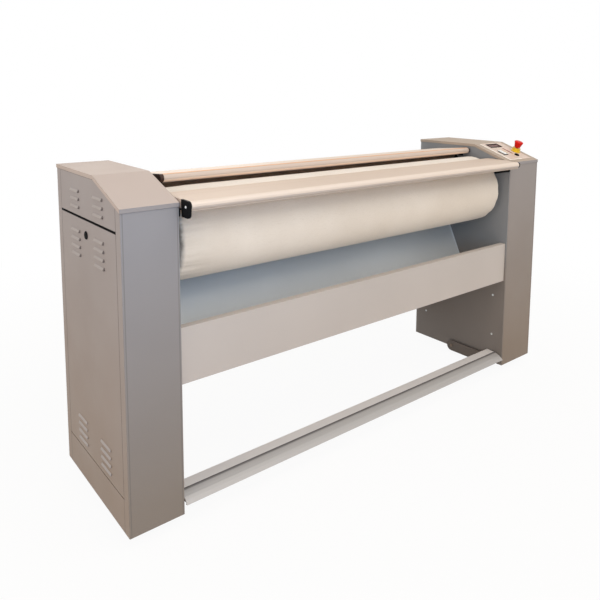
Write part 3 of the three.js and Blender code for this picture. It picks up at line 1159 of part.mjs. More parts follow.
function addDrive() {
  const x0 = REDUCER_WALL_GAP;
  const x1 = x0 + REDUCER_WIDTH;
  const drive = addGroup(RIGHT_WALL_X, ROLL_Y, ROLL_HEIGHT);
  const wormY = REDUCER_CENTRE_DISTANCE;
  const middle = (x0 + x1) / 2;
  const upright = (radius, z0, z1) => cylinder('z', radius, z0, z1, 24).translate([middle, wormY, 0]);
  const hub = cylinder('x', REDUCER_HUB_RADIUS, x0 + REDUCER_HUB_INSET, x1 - REDUCER_HUB_INSET, 28);
  const bosses = cylinder('x', DRIVE_JOURNAL_RADIUS + REDUCER_BOSS_WALL, x0, x1, 24);
  const web = box(x0 + REDUCER_HUB_INSET, x1 - REDUCER_HUB_INSET, 0, wormY,
    -REDUCER_WORM_RADIUS, REDUCER_WORM_RADIUS);
  const flangeTop = -REDUCER_WORM_BELOW;
  const flangeFoot = flangeTop - MOTOR_FLANGE;
  const wormBody = upright(REDUCER_WORM_RADIUS, flangeTop, REDUCER_WORM_ABOVE);
  const motorFlange = upright(MOTOR_RADIUS, flangeFoot, flangeTop);
  const foot = box(SEAT + LID_OVERHANG + WALL_SHEET, x0 + REDUCER_FOOT_LAP,
    BEARING_SIZE / 2 + REDUCER_FOOT_GAP, wormY + REDUCER_FOOT_END,
    -REDUCER_FOOT_HALF, REDUCER_FOOT_HALF);
  const bore = cylinder('x', DRIVE_JOURNAL_RADIUS + RUNNING, -FAR, FAR, 24);
  addPiece('worm_reducer', cut(join(hub, bosses, web, wormBody, motorFlange, foot), bore),
    MOTOR_PAINT, drive);

  // motor hanging under the reducer: a finned body, a cowl and a terminal box
  const top = flangeFoot - SEAT;
  const bottom = top - MOTOR_LENGTH;
  const fins = circle(0, 0, 1, 4 * MOTOR_FINS).map(([a, b], i) => {
    const radius = i % 4 < 2 ? MOTOR_RADIUS - MOTOR_FIN_DEPTH : MOTOR_RADIUS;
    return [a * radius, b * radius];
  });
  const finned = prism('z', fins, bottom + MOTOR_COWL, top).translate([middle, wormY, 0]);
  const cowl = upright(MOTOR_RADIUS + MOTOR_COWL_RISE, bottom, bottom + MOTOR_COWL);
  const lidTop = top - TERMINAL_BOX_DROP;
  const terminalBox = box(middle - TERMINAL_BOX_HALF, middle + TERMINAL_BOX_HALF,
    wormY + MOTOR_RADIUS - TERMINAL_BOX_LAP, wormY + MOTOR_RADIUS + TERMINAL_BOX_RISE,
    lidTop - TERMINAL_BOX_HEIGHT, lidTop);
  addPiece('drive_motor', join(finned, cowl, terminalBox), MOTOR_PAINT, drive);
}

/** Control enclosure on the right cabinet's inner wall, between the motor and the back. */
function addControlBox() {
  const x = CONTROL_BOX_X;
  const [y0, y1] = [TERMINAL_BOX_Y + CONTROL_BOX_FRONT_GAP, CABINET_DEPTH - CONTROL_BOX_REAR_GAP];
  const z0 = ROLL_HEIGHT - CONTROL_BOX_DROP;
  const z1 = z0 + CONTROL_BOX_HEIGHT;
  const i = Math.min(CONTROL_BOX_FIXING_INSET, (y1 - y0) / 3);
  const fixing = box(LID_OVERHANG + WALL_SHEET + SEAT, x + SEAT, y0 + i, y1 - i, z0 + i, z1 - i);
  const enclosure = box(x, x + CONTROL_BOX_WIDTH, y0, y1, z0, z1);
  addPiece('control_box', join(enclosure, fixing), CROSS_PAINT).position.x = RIGHT_WALL_X;
}

/** Cable gland in the right cabinet's back: a threaded neck, a hexagon and a sealing nut. */
function addGland() {
  const face = REAR_FACE_Y + SEAT;
  const gland = cut(
    join(cylinder('y', GLAND_NECK_RADIUS, REAR_FACE_Y - GLAND_THREAD, face + SEAT, 20),
      prism('y', circle(0, 0, GLAND_RADIUS, 6), face, face + GLAND_HEX),
      cylinder('y', GLAND_RADIUS - EDGE_ROUND, face + GLAND_HEX - SEAT, REAR_FACE_Y + GLAND_LENGTH, 20)),
    cylinder('y', GLAND_BORE, -FAR, FAR, 16));
  addPiece('cable_gland', gland, BLACK_PLASTIC).position.set(RIGHT_WALL_X + GLAND_X, 0, GLAND_HEIGHT);
}

function addFan() {
  const half = FAN_WIDTH / 2;
  const t = FAN_SHEET;
  const fan = addGroup(fanCentreX(), FAN_Y, FAN_CENTRE_HEIGHT);
  const ductEnd = REAR_FACE_Y - WALL_SHEET - SEAT - FAN_Y;
  const backEnd = half + FAN_MOTOR_LENGTH;
  const scroll = (inset) => [
    [ductEnd - inset, FAN_RADIUS - inset], ...arc(0, 0, FAN_RADIUS - inset, 90, 360, 24),
    [FAN_RADIUS - inset, FAN_RADIUS - FAN_DUCT + inset],
    [ductEnd - inset, FAN_RADIUS - FAN_DUCT + inset],
  ];
  const atDuct = (radius, from, to) =>
    cylinder('y', radius, from, to, 28).translate([0, 0, FAN_RADIUS - FAN_DUCT / 2]);
  const casing = cut(prism('x', scroll(0), -half, half), prism('x', scroll(t), t - half, half - t));
  const spigot = atDuct(SPIGOT_RADIUS, ductEnd - t, REAR_FACE_Y + SPIGOT_LENGTH - FAN_Y);
  const can = cylinder('x', FAN_MOTOR_RADIUS, half - t / 2, backEnd, 24);
  const housing = cut(join(casing, spigot, can), atDuct(SPIGOT_RADIUS - t, ductEnd - CUT, FAR),
    cylinder('x', FAN_INLET_RADIUS, -FAR, 2 * t - half, 28),
    cylinder('x', FAN_SHAFT_RADIUS + RUNNING, 0, backEnd - FAN_SHAFT_SHORT + t, 16));
  addPiece('suction_fan_housing', housing, CROSS_PAINT, fan);

  // radial wheel: a back plate and hub with straight blades, on the motor's shaft
  const back = half - t - FAN_WHEEL_GAP;
  const inPlate = back - FAN_PLATE_SHEET / 2;
  const front = back - FAN_WHEEL_WIDTH;
  let wheel = join(cylinder('x', FAN_WHEEL_RADIUS, back - FAN_PLATE_SHEET, back, 40),
    cylinder('x', FAN_HUB_RADIUS, front, inPlate, 20),
    cylinder('x', FAN_SHAFT_RADIUS, inPlate, backEnd - FAN_SHAFT_SHORT, 16));
  const blade = box(front, inPlate, FAN_HUB_RADIUS - t, FAN_WHEEL_RADIUS - 2 * t,
    -FAN_BLADE_SHEET / 2, FAN_BLADE_SHEET / 2);
  for (let i = 0; i < FAN_BLADES; i += 1) {
    wheel = join(wheel, blade.rotate([(360 * i) / FAN_BLADES, 0, 0]));
  }
  addPiece('suction_fan_wheel', wheel, BLACK_PLASTIC, fan);
}

// ---------------------------------------------------------------- console

/** Places on the slope: x from the right cabinet's inner side, s up the slope. */
const slopePoint = (s) => [s * Math.cos(SLOPE_ANGLE), LID_FRONT_HEIGHT + s * Math.sin(SLOPE_ANGLE)];

/** Holes in the right lid for the console's parts, in the cabinet's frame (outer side x = 0). */
function consoleHoles(width) {
  const onSlope = (body, x, s) => {
    const [y, z] = slopePoint(s);
    return body.rotate([degrees(SLOPE_ANGLE), 0, 0]).translate([width - x, y, z]);
  };
  return [
    onSlope(roundCutter(STOP_SHANK_RADIUS), STOP_X, STOP_START),
    onSlope(roundCutter(BUTTON_RADIUS), BUTTON_X, BUTTON_START),
    onSlope(keyCutter(), KEY_X + KEY_WIDTH / 2, KEY_START + KEY_LENGTH / 2),
  ];
}

/** Cutters through a sheet at the origin, for a round part and for the start key. */
function roundCutter(radius) {
  return cylinder('z', radius + RUNNING, -CUT, CUT, 24);
}

function keyCutter() {
  const [x, y] = [KEY_WIDTH / 2 + RUNNING, KEY_LENGTH / 2 + RUNNING];
  return box(-x, x, -y, y, -CUT, CUT);
}

function addConsole() {
  const slope = addGroup(RIGHT_WALL_X, 0, LID_FRONT_HEIGHT, degrees(SLOPE_ANGLE));
  const top = SEAT + CONSOLE_SHEET;
  const keyX = KEY_X + KEY_WIDTH / 2;
  const keyS = KEY_START + KEY_LENGTH / 2;
  const display = (inset, z0, z1) => box(WINDOW_X + inset, WINDOW_X + WINDOW_WIDTH - inset,
    WINDOW_START + inset, WINDOW_START + WINDOW_LENGTH - inset, z0, z1);
  const film = cut(
    box(CONSOLE_X, CONSOLE_X + CONSOLE_WIDTH, CONSOLE_START, CONSOLE_START + CONSOLE_LENGTH, SEAT, top),
    display(0, -CUT, CUT), keyCutter().translate([keyX, keyS, 0]),
    roundCutter(STOP_SHANK_RADIUS).translate([STOP_X, STOP_START, 0]),
    roundCutter(BUTTON_RADIUS).translate([BUTTON_X, BUTTON_START, 0]));
  addPiece('console_film', film, CREAM_FILM, slope);
  addPiece('display_window', display(SEAT, SEAT, top - SEAT), DARK_WINDOW, slope);

  const key = box(-KEY_WIDTH / 2, KEY_WIDTH / 2, -KEY_LENGTH / 2, KEY_LENGTH / 2,
    -KEY_TRAVEL - SWITCH_DEPTH, top + KEY_PROUD);
  addPiece('start_key', key, WHITE_PLASTIC, slope).position.set(keyX, keyS, 0);
  const [buttonFoot, buttonTop] = [-BUTTON_TRAVEL - SWITCH_DEPTH, top + BUTTON_PROUD];
  const button = turned('z', [[0, buttonFoot], [BUTTON_RADIUS, buttonFoot],
    [BUTTON_RADIUS, buttonTop - EDGE_ROUND], [BUTTON_RADIUS - EDGE_ROUND, buttonTop],
    [0, buttonTop]], 24);
  addPiece('roll_button', button, BLACK_PLASTIC, slope).position.set(BUTTON_X, BUTTON_START, 0);
  addEmergencyStop(slope, top + SEAT);
}

/** Emergency stop: a stepped collar clamped through the lid and a flared head on its stem. */
function addEmergencyStop(slope, seat) {
  const shankFoot = -STOP_SHANK_LENGTH;
  const step = seat + STOP_COLLAR_STEP;
  const collarTop = seat + STOP_COLLAR_HEIGHT;
  const stemBore = STOP_STEM_RADIUS + RUNNING;
  const collar = turned('z', [[stemBore, shankFoot], [STOP_SHANK_RADIUS, shankFoot],
    [STOP_SHANK_RADIUS, seat], [STOP_COLLAR_RADIUS, seat], [STOP_COLLAR_RADIUS, step - EDGE_ROUND],
    [STOP_COLLAR_RADIUS - 2 * EDGE_ROUND, step], [STOP_COLLAR_RADIUS - 2 * EDGE_ROUND, collarTop],
    [stemBore, collarTop], [stemBore, shankFoot]], 28);
  addPiece('emergency_stop_collar', collar, YELLOW_PLASTIC, slope).position.set(STOP_X, STOP_START, 0);
  const stemFoot = shankFoot + STOP_TRAVEL + SEAT;
  const headFoot = collarTop + STOP_TRAVEL + SEAT;
  const headTop = headFoot + STOP_HEAD_HEIGHT;
  const rim = headTop - STOP_RIM_DROP;
  const head = turned('z', [[0, stemFoot], [STOP_STEM_RADIUS, stemFoot], [STOP_STEM_RADIUS, headFoot],
    [STOP_WAIST_RADIUS, headFoot], [STOP_HEAD_RADIUS - EDGE_ROUND, rim - EDGE_ROUND],
    [STOP_HEAD_RADIUS, rim], [STOP_HEAD_RADIUS, rim + EDGE_ROUND],
    [STOP_HEAD_RADIUS - EDGE_ROUND, headTop - EDGE_ROUND],
    [STOP_HEAD_RADIUS - 3 * EDGE_ROUND, headTop], [0, headTop]], 28);
  addPiece('emergency_stop_head', head, RED_PLASTIC, slope).position.set(STOP_X, STOP_START, 0);
}

// ---------------------------------------------------------------- assembly

addCabinet('left', LEFT_CABINET_WIDTH, addGroup(0, 0, 0), false);
addCabinet('right', RIGHT_CABINET_WIDTH, addGroup(OVERALL_WIDTH, 0, 0), true);
addRoll();
addChest();
addFeedBoard();
addFingerGuard();
addCrossPanels();
addFootBar();
addLinkRod();
addDrive();
addControlBox();
addGland();
addFan();
addConsole();

const bounds = new THREE.Box3().setFromObject(machine, true);
machine.position.set(-OVERALL_WIDTH / 2, -(bounds.min.y + bounds.max.y) / 2, -bounds.min.z);

export default ironer;
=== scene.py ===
"""Looks of the flatwork ironer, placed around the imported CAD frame. Metres, +Z up, front at -Y."""
import math

import bmesh
import bpy
from mathutils import Euler, Matrix, Vector, noise


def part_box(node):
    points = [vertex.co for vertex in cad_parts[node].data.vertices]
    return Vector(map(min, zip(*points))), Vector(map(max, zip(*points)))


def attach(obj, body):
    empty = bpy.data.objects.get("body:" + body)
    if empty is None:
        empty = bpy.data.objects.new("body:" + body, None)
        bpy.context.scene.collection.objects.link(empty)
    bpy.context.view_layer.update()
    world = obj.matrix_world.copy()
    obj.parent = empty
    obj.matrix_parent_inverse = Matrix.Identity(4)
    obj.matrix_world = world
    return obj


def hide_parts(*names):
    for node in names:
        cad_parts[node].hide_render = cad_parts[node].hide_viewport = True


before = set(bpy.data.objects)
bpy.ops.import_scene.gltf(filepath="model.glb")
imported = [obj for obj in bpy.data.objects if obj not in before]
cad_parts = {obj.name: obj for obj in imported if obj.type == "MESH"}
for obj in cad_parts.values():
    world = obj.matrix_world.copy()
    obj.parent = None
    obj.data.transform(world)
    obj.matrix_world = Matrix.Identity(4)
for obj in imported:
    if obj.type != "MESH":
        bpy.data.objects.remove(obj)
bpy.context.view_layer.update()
MM = 0.001

# ------------------------------------------------------------------ places
# Millimetres of the machine: x from its left side, y from the cabinets' front, z from their
# underside.

LID_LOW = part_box("left_cabinet_lid")[0]
MACHINE = Vector((LID_LOW[0], LID_LOW[1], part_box("left_cabinet_shell")[0][2]))
WIDTH = 2075
LEFT_LID_X, RIGHT_LID_X = 180, 1845       # inner edges of the lids
LEFT_FACE_X, RIGHT_FACE_X = 178, 1847     # inner walls of the cabinets
LID_FRONT_Z = 967
SLOPE_RUN, SLOPE_RISE = 198, 72           # front part of the lids
REAR_RUN, REAR_RISE = 332, 3              # nearly flat part behind it
REAR_START_Z = LID_FRONT_Z + SLOPE_RISE - SLOPE_RUN * REAR_RISE / REAR_RUN
PANEL_FRONT_Y, PANEL_REAR_Y = 35, 495
SLOT_LOW_Z, SLOT_HIGH_Z = 890.8, 899.2    # finger slot between the side panels
LOUVRE_FRONT_Y, LOUVRE_REAR_Y = 163, 360
ROLL_X, ROLL_Y, ROLL_Z = (LEFT_LID_X + RIGHT_LID_X) / 2, 183, 833
ROLL_R = 150


def at(x, y, z):
    """Point in metres from machine millimetres."""
    return MACHINE + Vector((x, y, z)) * MM


def along(letter, place):
    """Metres on one axis from a place in machine millimetres."""
    return MACHINE["XYZ".index(letter)] + place * MM


def lid_z(y):
    """Height of a lid's top at a distance behind the cabinets' front."""
    return min(LID_FRONT_Z + y * SLOPE_RISE / SLOPE_RUN, REAR_START_Z + y * REAR_RISE / REAR_RUN)


# ------------------------------------------------------------------ camera, solved from straight edges

camera_data = bpy.data.cameras.new("camera")
camera_data.sensor_width = 36.0
camera_data.lens = 36.878
camera_data.shift_y = -0.225
camera_data.clip_start = 0.05
camera_data.clip_end = 50.0
camera = bpy.data.objects.new("camera", camera_data)
camera.location = at(-633.2, -1577.5, 1284.6)
camera.rotation_euler = Euler((1.452144, -0.003789, -0.671607))
bpy.context.scene.collection.objects.link(camera)
bpy.context.scene.camera = camera

# ------------------------------------------------------------------ shader helpers


def linear(value):
    """Linear share of a 0 to 255 display value."""
    return ((value / 255 + 0.055) / 1.055) ** 2.4 if value > 10 else value / 255 / 12.92


def srgb(*color):
    """Linear colour of three display values."""
    return tuple(linear(value) for value in color) + (1,)


def shade(color, factor):
    return tuple(c * factor for c in color[:3]) + (1,)


def add_node(tree, kind, inputs=(), **attributes):
    """New node with its attributes set, and each input linked to an output or set to a value."""
    node = tree.nodes.new(kind)
    for key, value in attributes.items():
        setattr(node, key, value)
    for key, value in dict(inputs).items():
        if isinstance(value, bpy.types.NodeSocket):
            tree.links.new(value, node.inputs[key])
        else:
            node.inputs[key].default_value = value
    return node


class Shader:
    """A node material with one Principled shader and short calls for what feeds it."""

    def __init__(self, name, color, roughness, metallic=0.0, **sockets):
        self.material = bpy.data.materials.new(name)
        self.material.use_nodes = True
        self.tree = self.material.node_tree
        self.surface = self.tree.nodes["Principled BSDF"]
        self.color = srgb(*color)
        self.set("Base Color", self.color)
        self.set("Roughness", roughness)
        self.set("Metallic", metallic)
        for key, value in sockets.items():
            self.set(key.replace("_", " "), value)
        self.object = self.add("ShaderNodeTexCoord").outputs["Object"]

    def set(self, socket, value):
        self.surface.inputs[socket].default_value = value

    def link(self, output, socket):
        self.tree.links.new(output, self.surface.inputs[socket])

    def add(self, kind, inputs=(), **attributes):
        return add_node(self.tree, kind, inputs, **attributes)

    def math(self, operation, *values):
        return self.add("ShaderNodeMath", dict(enumerate(values)), operation=operation).outputs[0]

    def times(self, product, *factors):
        for factor in factors:
            product = self.math("MULTIPLY", product, factor)
        return product

    def axis(self, letter):
        return self.add("ShaderNodeSeparateXYZ", {"Vector": self.object}).outputs[letter]

    def stretched(self, scale):
        mapping = self.add("ShaderNodeMapping", {"Vector": self.object, "Scale": scale})
        return mapping.outputs["Vector"]

    def noise(self, scale, detail=3.0, vector=None):
        inputs = {"Vector": vector or self.object, "Scale": scale, "Detail": detail}
        return self.add("ShaderNodeTexNoise", inputs).outputs["Fac"]

    def ramp(self, fac, low, high, start=0.0, end=1.0):
        node = self.add("ShaderNodeMapRange", {
            "Value": fac, "From Min": low, "From Max": high, "To Min": start, "To Max": end})
        return node.outputs["Result"]

    def rise(self, letter, low, high, start=0.0, end=1.0):
        """Ramp between two places in machine millimetres."""
        return self.ramp(self.axis(letter), along(letter, low), along(letter, high), start, end)

    def band(self, letter, low, high, blur):
        """1 between two places in machine millimetres, fading to 0 outside them."""
        return self.times(self.rise(letter, low - blur, low + blur),
                          self.rise(letter, high - blur, high + blur, 1.0, 0.0))

    def mix(self, fac, a, b, blend="MIX"):
        inputs = {0: fac, 6: a, 7: b}
        return self.add("ShaderNodeMix", inputs, data_type="RGBA", blend_type=blend).outputs[2]

    def bump(self, height, strength, distance, normal=None):
        """Bump of a depth in millimetres."""
        inputs = {"Height": height, "Strength": strength, "Distance": distance * MM}
        if normal:
            inputs["Normal"] = normal
        return self.add("ShaderNodeBump", inputs).outputs["Normal"]

    def edges(self, radius):
        """Normal that rounds sharp edges by a radius in millimetres, as a brake or a mould does."""
        return self.add("ShaderNodeBevel", {"Radius": radius * MM}, samples=4).outputs["Normal"]


# ------------------------------------------------------------------ kinds of surface

# Heights between which the paint turns to its low tone, a painted shade darker towards the bottom.
LOW_SHADE_START_Z, LOW_SHADE_END_Z = 910, 60


def painted(name, color, roughness, peel=0.12, edge=1.4, low=None, marks=None, **sockets):
    """Powder coat: orange peel, slow tone changes and, where asked, a low tone of painted shade and marks,
    mostly painted light and shade.
    """
    s = Shader(name, color, roughness, **sockets)
    tone = s.ramp(s.noise(2.2, 4.0), 0.3, 0.7)
    base = s.mix(tone, shade(s.color, 0.96), shade(s.color, 1.04))
    if low:
        # Painted shade: towards the bottom the colour turns to the darker low tone.
        shaded_low = s.mix(tone, shade(srgb(*low), 0.97), shade(srgb(*low), 1.03))
        base = s.mix(s.rise("Z", LOW_SHADE_START_Z, LOW_SHADE_END_Z), base, shaded_low)
    if marks:
        base = marks(s, base)
    speck = s.ramp(s.noise(1500.0, 2.0), 0.62, 0.72)
    s.link(s.mix(s.times(speck, 0.1), base, shade(s.color, 0.6)), "Base Color")
    s.link(s.ramp(s.noise(6.0), 0.3, 0.7, roughness - 0.05, roughness + 0.06), "Roughness")
    s.link(s.bump(s.noise(650.0, 2.0), peel, 0.4, s.edges(edge)), "Normal")
    return s.material


def extruded(name, color, roughness, metallic, lines=0.25, bands=(), **sockets):
    """Anodised extrusion: die lines along x, and bands (axis, from, to, colour) of other tones, mostly
    painted light and shade.
    """
    s = Shader(name, color, roughness, metallic, **sockets)
    streak = s.noise(1.0, 4.0, s.stretched((0.6, 420.0, 420.0)))
    base = s.mix(s.ramp(streak, 0.3, 0.7), shade(s.color, 0.93), shade(s.color, 1.05))
    for letter, low, high, tone in bands:
        base = s.mix(s.band(letter, low, high, 1.0), base, srgb(*tone))
    s.link(base, "Base Color")
    s.link(s.ramp(streak, 0.3, 0.7, roughness - 0.06, roughness + 0.08), "Roughness")
    s.link(s.bump(streak, lines, 0.06, s.edges(0.8)), "Normal")
    return s.material


def steel(name, color, roughness=0.35, metallic=0.9, grain=(3.0, 500.0, 500.0), stain=0.1):
    """Machined or brushed steel; its grain runs along the axis with the small stretch."""
    s = Shader(name, color, roughness, metallic)
    streak = s.noise(1.0, 3.0, s.stretched(grain))
    cloud = s.ramp(s.noise(14.0, 4.0), 0.35, 0.75)
    base = s.mix(s.ramp(streak, 0.3, 0.7), shade(s.color, 0.88), shade(s.color, 1.08))
    s.link(s.mix(s.times(cloud, stain), base, shade(s.color, 0.45)), "Base Color")
    s.link(s.ramp(streak, 0.3, 0.7, roughness - 0.08, roughness + 0.1), "Roughness")
    s.link(s.bump(streak, 0.3, 0.05, s.edges(0.6)), "Normal")
    return s.material


def moulded(name, color, roughness, grain=0.15, scale=900.0, edge=0.6, **sockets):
    """Moulded plastic or rubber: a fine spark-eroded grain and faint sheen changes."""
    s = Shader(name, color, roughness, **sockets)
    tone = s.ramp(s.noise(40.0), 0.3, 0.7)
    s.link(s.mix(tone, shade(s.color, 0.92), shade(s.color, 1.08)), "Base Color")
    s.link(s.ramp(s.noise(25.0), 0.3, 0.7, roughness - 0.05, roughness + 0.07), "Roughness")
    s.link(s.bump(s.noise(scale, 2.0), grain, 0.15, s.edges(edge)), "Normal")
    return s.material


# ------------------------------------------------------------------ lines, painted light and painted shade of the cabinets

LINE_DROP = 12.6             # from the lid's top down to the shut line under its skirt
LINE_HALF = 1.6              # half the width of a shut line or fold
PANEL_GAP = 0.4
FOLD_INSET = 8               # from the machine's side in to the line on a front's outer fold
INNER_FOLD_INSET = 5         # from the inner wall out to the line on its inner fold
FRONT_DEPTH = 3              # how far back a front's tone reaches
BEFORE = -9                  # a place in front of, and left of, everything on the cabinets
LOUVRE_END = (-39, -31)      # front end of a louvre, from its middle
LOUVRE_END_Z = (400, 600)    # height in which the painted shade at the upper louvres' ends fades in
COOL_WALL_Z = (440, 600)     # height in which the painted shade on the inner walls turns cooler


def outside(s, depth):
    """1 on what lies within a depth of the machine's two outer sides."""
    return s.math("MAXIMUM", s.band("X", -10, depth, 0.3), s.band("X", WIDTH - depth, WIDTH + 10, 0.3))


def line_at(s, letter, place, blur):
    """1 on a shut line or a fold across one axis."""
    return s.band(letter, place - LINE_HALF, place + LINE_HALF, blur)


def panel_gap_shade(s, base):
    """Painted shadow and dirt in the shut lines round the side panels, and painted shade in the finger slot
    between them.
    """
    y = s.math("SUBTRACT", s.axis("Y"), MACHINE.y)
    slope = s.math("ADD", s.times(y, SLOPE_RISE / SLOPE_RUN), along("Z", LID_FRONT_Z))
    rear = s.math("ADD", s.times(y, REAR_RISE / REAR_RUN), along("Z", REAR_START_Z))
    below = s.math("SUBTRACT", s.axis("Z"), s.math("MINIMUM", slope, rear))
    line = s.math("COMPARE", below, -LINE_DROP * MM, LINE_HALF * MM)
    for place in (PANEL_FRONT_Y + PANEL_GAP, PANEL_REAR_Y - PANEL_GAP):
        line = s.math("MAXIMUM", line, line_at(s, "Y", place, 0.4))
    # Painted shadow and dirt in the shut lines.
    base = s.mix(s.times(outside(s, 5), line, 0.6), base, srgb(74, 62, 56))
    # Painted shade, nearly black, in the finger slot.
    slot = s.times(s.band("Z", SLOT_LOW_Z, SLOT_HIGH_Z, 0.4), s.band("Y", PANEL_FRONT_Y, PANEL_REAR_Y, 1.0))
    return s.mix(s.times(outside(s, 14), slot), base, srgb(20, 14, 12))


def louvre_light_and_shade(s, base):
    """Painted highlight on the louvres, and painted shade at the front end of the upper ones."""
    # Painted highlight on the proud hoods of the louvres.
    base = s.mix(outside(s, 0.6), base, srgb(175, 165, 158))
    proud = s.times(outside(s, 1.7), s.rise("Z", *LOUVRE_END_Z, 0.0, 0.8))
    # Painted shade in the open front ends of the upper louvres.
    for column in (LOUVRE_FRONT_Y, LOUVRE_REAR_Y):
        end = s.band("Y", column + LOUVRE_END[0], column + LOUVRE_END[1], 1.0)
        base = s.mix(s.times(proud, end), base, srgb(84, 72, 65))
    return base


def front_shade_and_lines(s, base):
    """Painted shade on the fronts, a painted cool light on the left one, and a darker line on each fold."""
    front = s.band("Y", BEFORE, FRONT_DEPTH, 0.3)
    # Painted shade: the fronts darker than the sides.
    base = s.mix(front, base, (0.87, 0.89, 0.885, 1), "MULTIPLY")
    left_front = s.times(front, s.band("X", BEFORE, LEFT_LID_X + 10, 1.0))
    # Painted cool light on the left front.
    base = s.mix(left_front, base, (0.98, 1.06, 1.16, 1), "MULTIPLY")
    for place in (FOLD_INSET, LEFT_FACE_X - INNER_FOLD_INSET,
                  RIGHT_FACE_X + INNER_FOLD_INSET, WIDTH - FOLD_INSET):
        base = s.mix(s.times(front, line_at(s, "X", place, 0.5), 0.4), base, srgb(92, 84, 80))
    return base


def inner_wall_shade(s, base):
    """Painted shade on the inner walls, cooler above the cross panel."""
    # Painted shade, warmer low down and cooler up high.
    wall_shade = s.mix(s.rise("Z", *COOL_WALL_Z), srgb(133, 122, 113), srgb(145, 145, 145))
    for place in (LEFT_FACE_X, RIGHT_FACE_X):
        base = s.mix(s.band("X", place - 1, place + 1, 0.2), base, wall_shade)
    return base


# Fold lines, and painted light and shade, on the cabinets' side paint.
def cabinet_lines_light_and_shade(s, base):
    for marks in (panel_gap_shade, louvre_light_and_shade, front_shade_and_lines, inner_wall_shade):
        base = marks(s, base)
    return base


def lid_edge_shade(s, base):
    """Painted shade on the lid's front edge, which faces the operator."""
    return s.mix(s.band("Y", BEFORE, 0.9, 0.3), base, srgb(158, 151, 149))


# ------------------------------------------------------------------ materials

BOARD_NOSE, GUARD_NOSE = (
    (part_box(name)[0][1] - MACHINE.y) / MM for name in ("feed_board", "finger_guard"))

# Side paint: its low tone is painted shade; its marks paint shadow and dirt in the shut lines, shade in the
# finger slots, light and shade on the louvres, shade and a cool light on the fronts, and shade on the inner
# walls.
SIDE = painted("side_paint", (160, 149, 144), 0.52, low=(145, 125, 108), marks=cabinet_lines_light_and_shade)
# The lid paint is a lighter copy of the side paint, painted light on the tops.
LID = painted("lid_paint", (196, 179, 167), 0.62, marks=lid_edge_shade, Specular_IOR_Level=0.25)
# The right lid's paint is a darker, warmer copy of the lid paint, painted shade.
RIGHT_LID_SHADED = painted("right_lid_paint_shaded", (184, 166, 148), 0.62, marks=lid_edge_shade,
                      Specular_IOR_Level=0.25)
INNER = painted("inner_paint", (88, 83, 79), 0.55)
ARM = painted("arm_paint", (107, 95, 85), 0.55)
# The cross panel's low tone is painted shade, darker towards the bottom.
CROSS = painted("cross_paint", (196, 187, 179), 0.42, peel=0.06, low=(195, 180, 168))
CHUTE = painted("chute_paint", (217, 219, 218), 0.36, peel=0.04, Metallic=0.1)
# Lighter copy of the chute paint for the chute's lips, a painted highlight on the turned edges.
LIP = painted("lip_paint_lit", (232, 236, 238), 0.36, peel=0.04)
# Bands of the feed board: on the nose a painted highlight, low on the nose a painted shade, and a darker
# line on the top.
BOARD = extruded("board_aluminium", (214, 192, 172), 0.5, 0.12, Specular_IOR_Level=0.35, bands=(
    ("Y", BOARD_NOSE - 5, BOARD_NOSE + 13, (229, 211, 194)),
    ("Z", 930, 959.5, (204, 189, 177)),
    ("Y", BOARD_NOSE + 110, BOARD_NOSE + 114, (206, 182, 160))))
# Bands of the finger guard: on the nose a greyer painted shade, low on the guard painted light, and behind
# the nose an orange painted highlight.
GUARD = extruded("guard_aluminium", (228, 208, 189), 0.5, 0.12, Specular_IOR_Level=0.35, bands=(
    ("Y", GUARD_NOSE - 5, GUARD_NOSE + 10, (206, 187, 171)),
    ("Z", 970, 1003, (246, 220, 197)),
    ("Y", GUARD_NOSE + 8, GUARD_NOSE + 29, (224, 168, 122))))
# Darker copy of the board's aluminium for the hem under the nose, a painted shade.
HEM = extruded("hem_aluminium_shaded", (186, 169, 154), 0.5, 0.12)
# Bands of the foot bar: painted light on the tread behind the groove, and painted shade in the groove.
BAR = extruded("bar_aluminium", (182, 176, 170), 0.45, 0.15, 0.35, bands=(
    ("Y", 41.5, 95, (238, 230, 223)),
    ("Y", 32, 41.5, (132, 126, 122))))
CHEST = steel("chest_aluminium", (164, 162, 158), 0.2, 0.95, (0.8, 700.0, 700.0), 0.05)
STEEL = steel("machined_steel", (150, 150, 152))
DRUM = steel("drum_steel", (132, 130, 128), 0.45, 0.8)
# Near-white steel for screw heads, a painted glint.
GLINT_STEEL = steel("glint_white_steel", (236, 236, 232), 0.4, 0.2, (300.0, 300.0, 300.0), 0.02)
ZINC = steel("zinc_steel", (176, 176, 172), 0.3, 0.9, (300.0, 300.0, 300.0))
SHEET = painted("galvanised_sheet", (150, 154, 156), 0.4, peel=0.03, Metallic=0.7)
BLACK = moulded("black_plastic", (11, 11, 12), 0.62, Specular_IOR_Level=0.06)
BROWN = moulded("brown_plastic", (66, 46, 38), 0.5, Specular_IOR_Level=0.2)
BLACK_STEEL = painted("black_enamel", (18, 17, 17), 0.5, peel=0.1, edge=0.8,
                      Specular_IOR_Level=0.2)
# Dark grey for the strip in the foot bar's groove, a painted shade.
GROOVE_SHADE = moulded("groove_shade_grey", (92, 87, 83), 0.6)
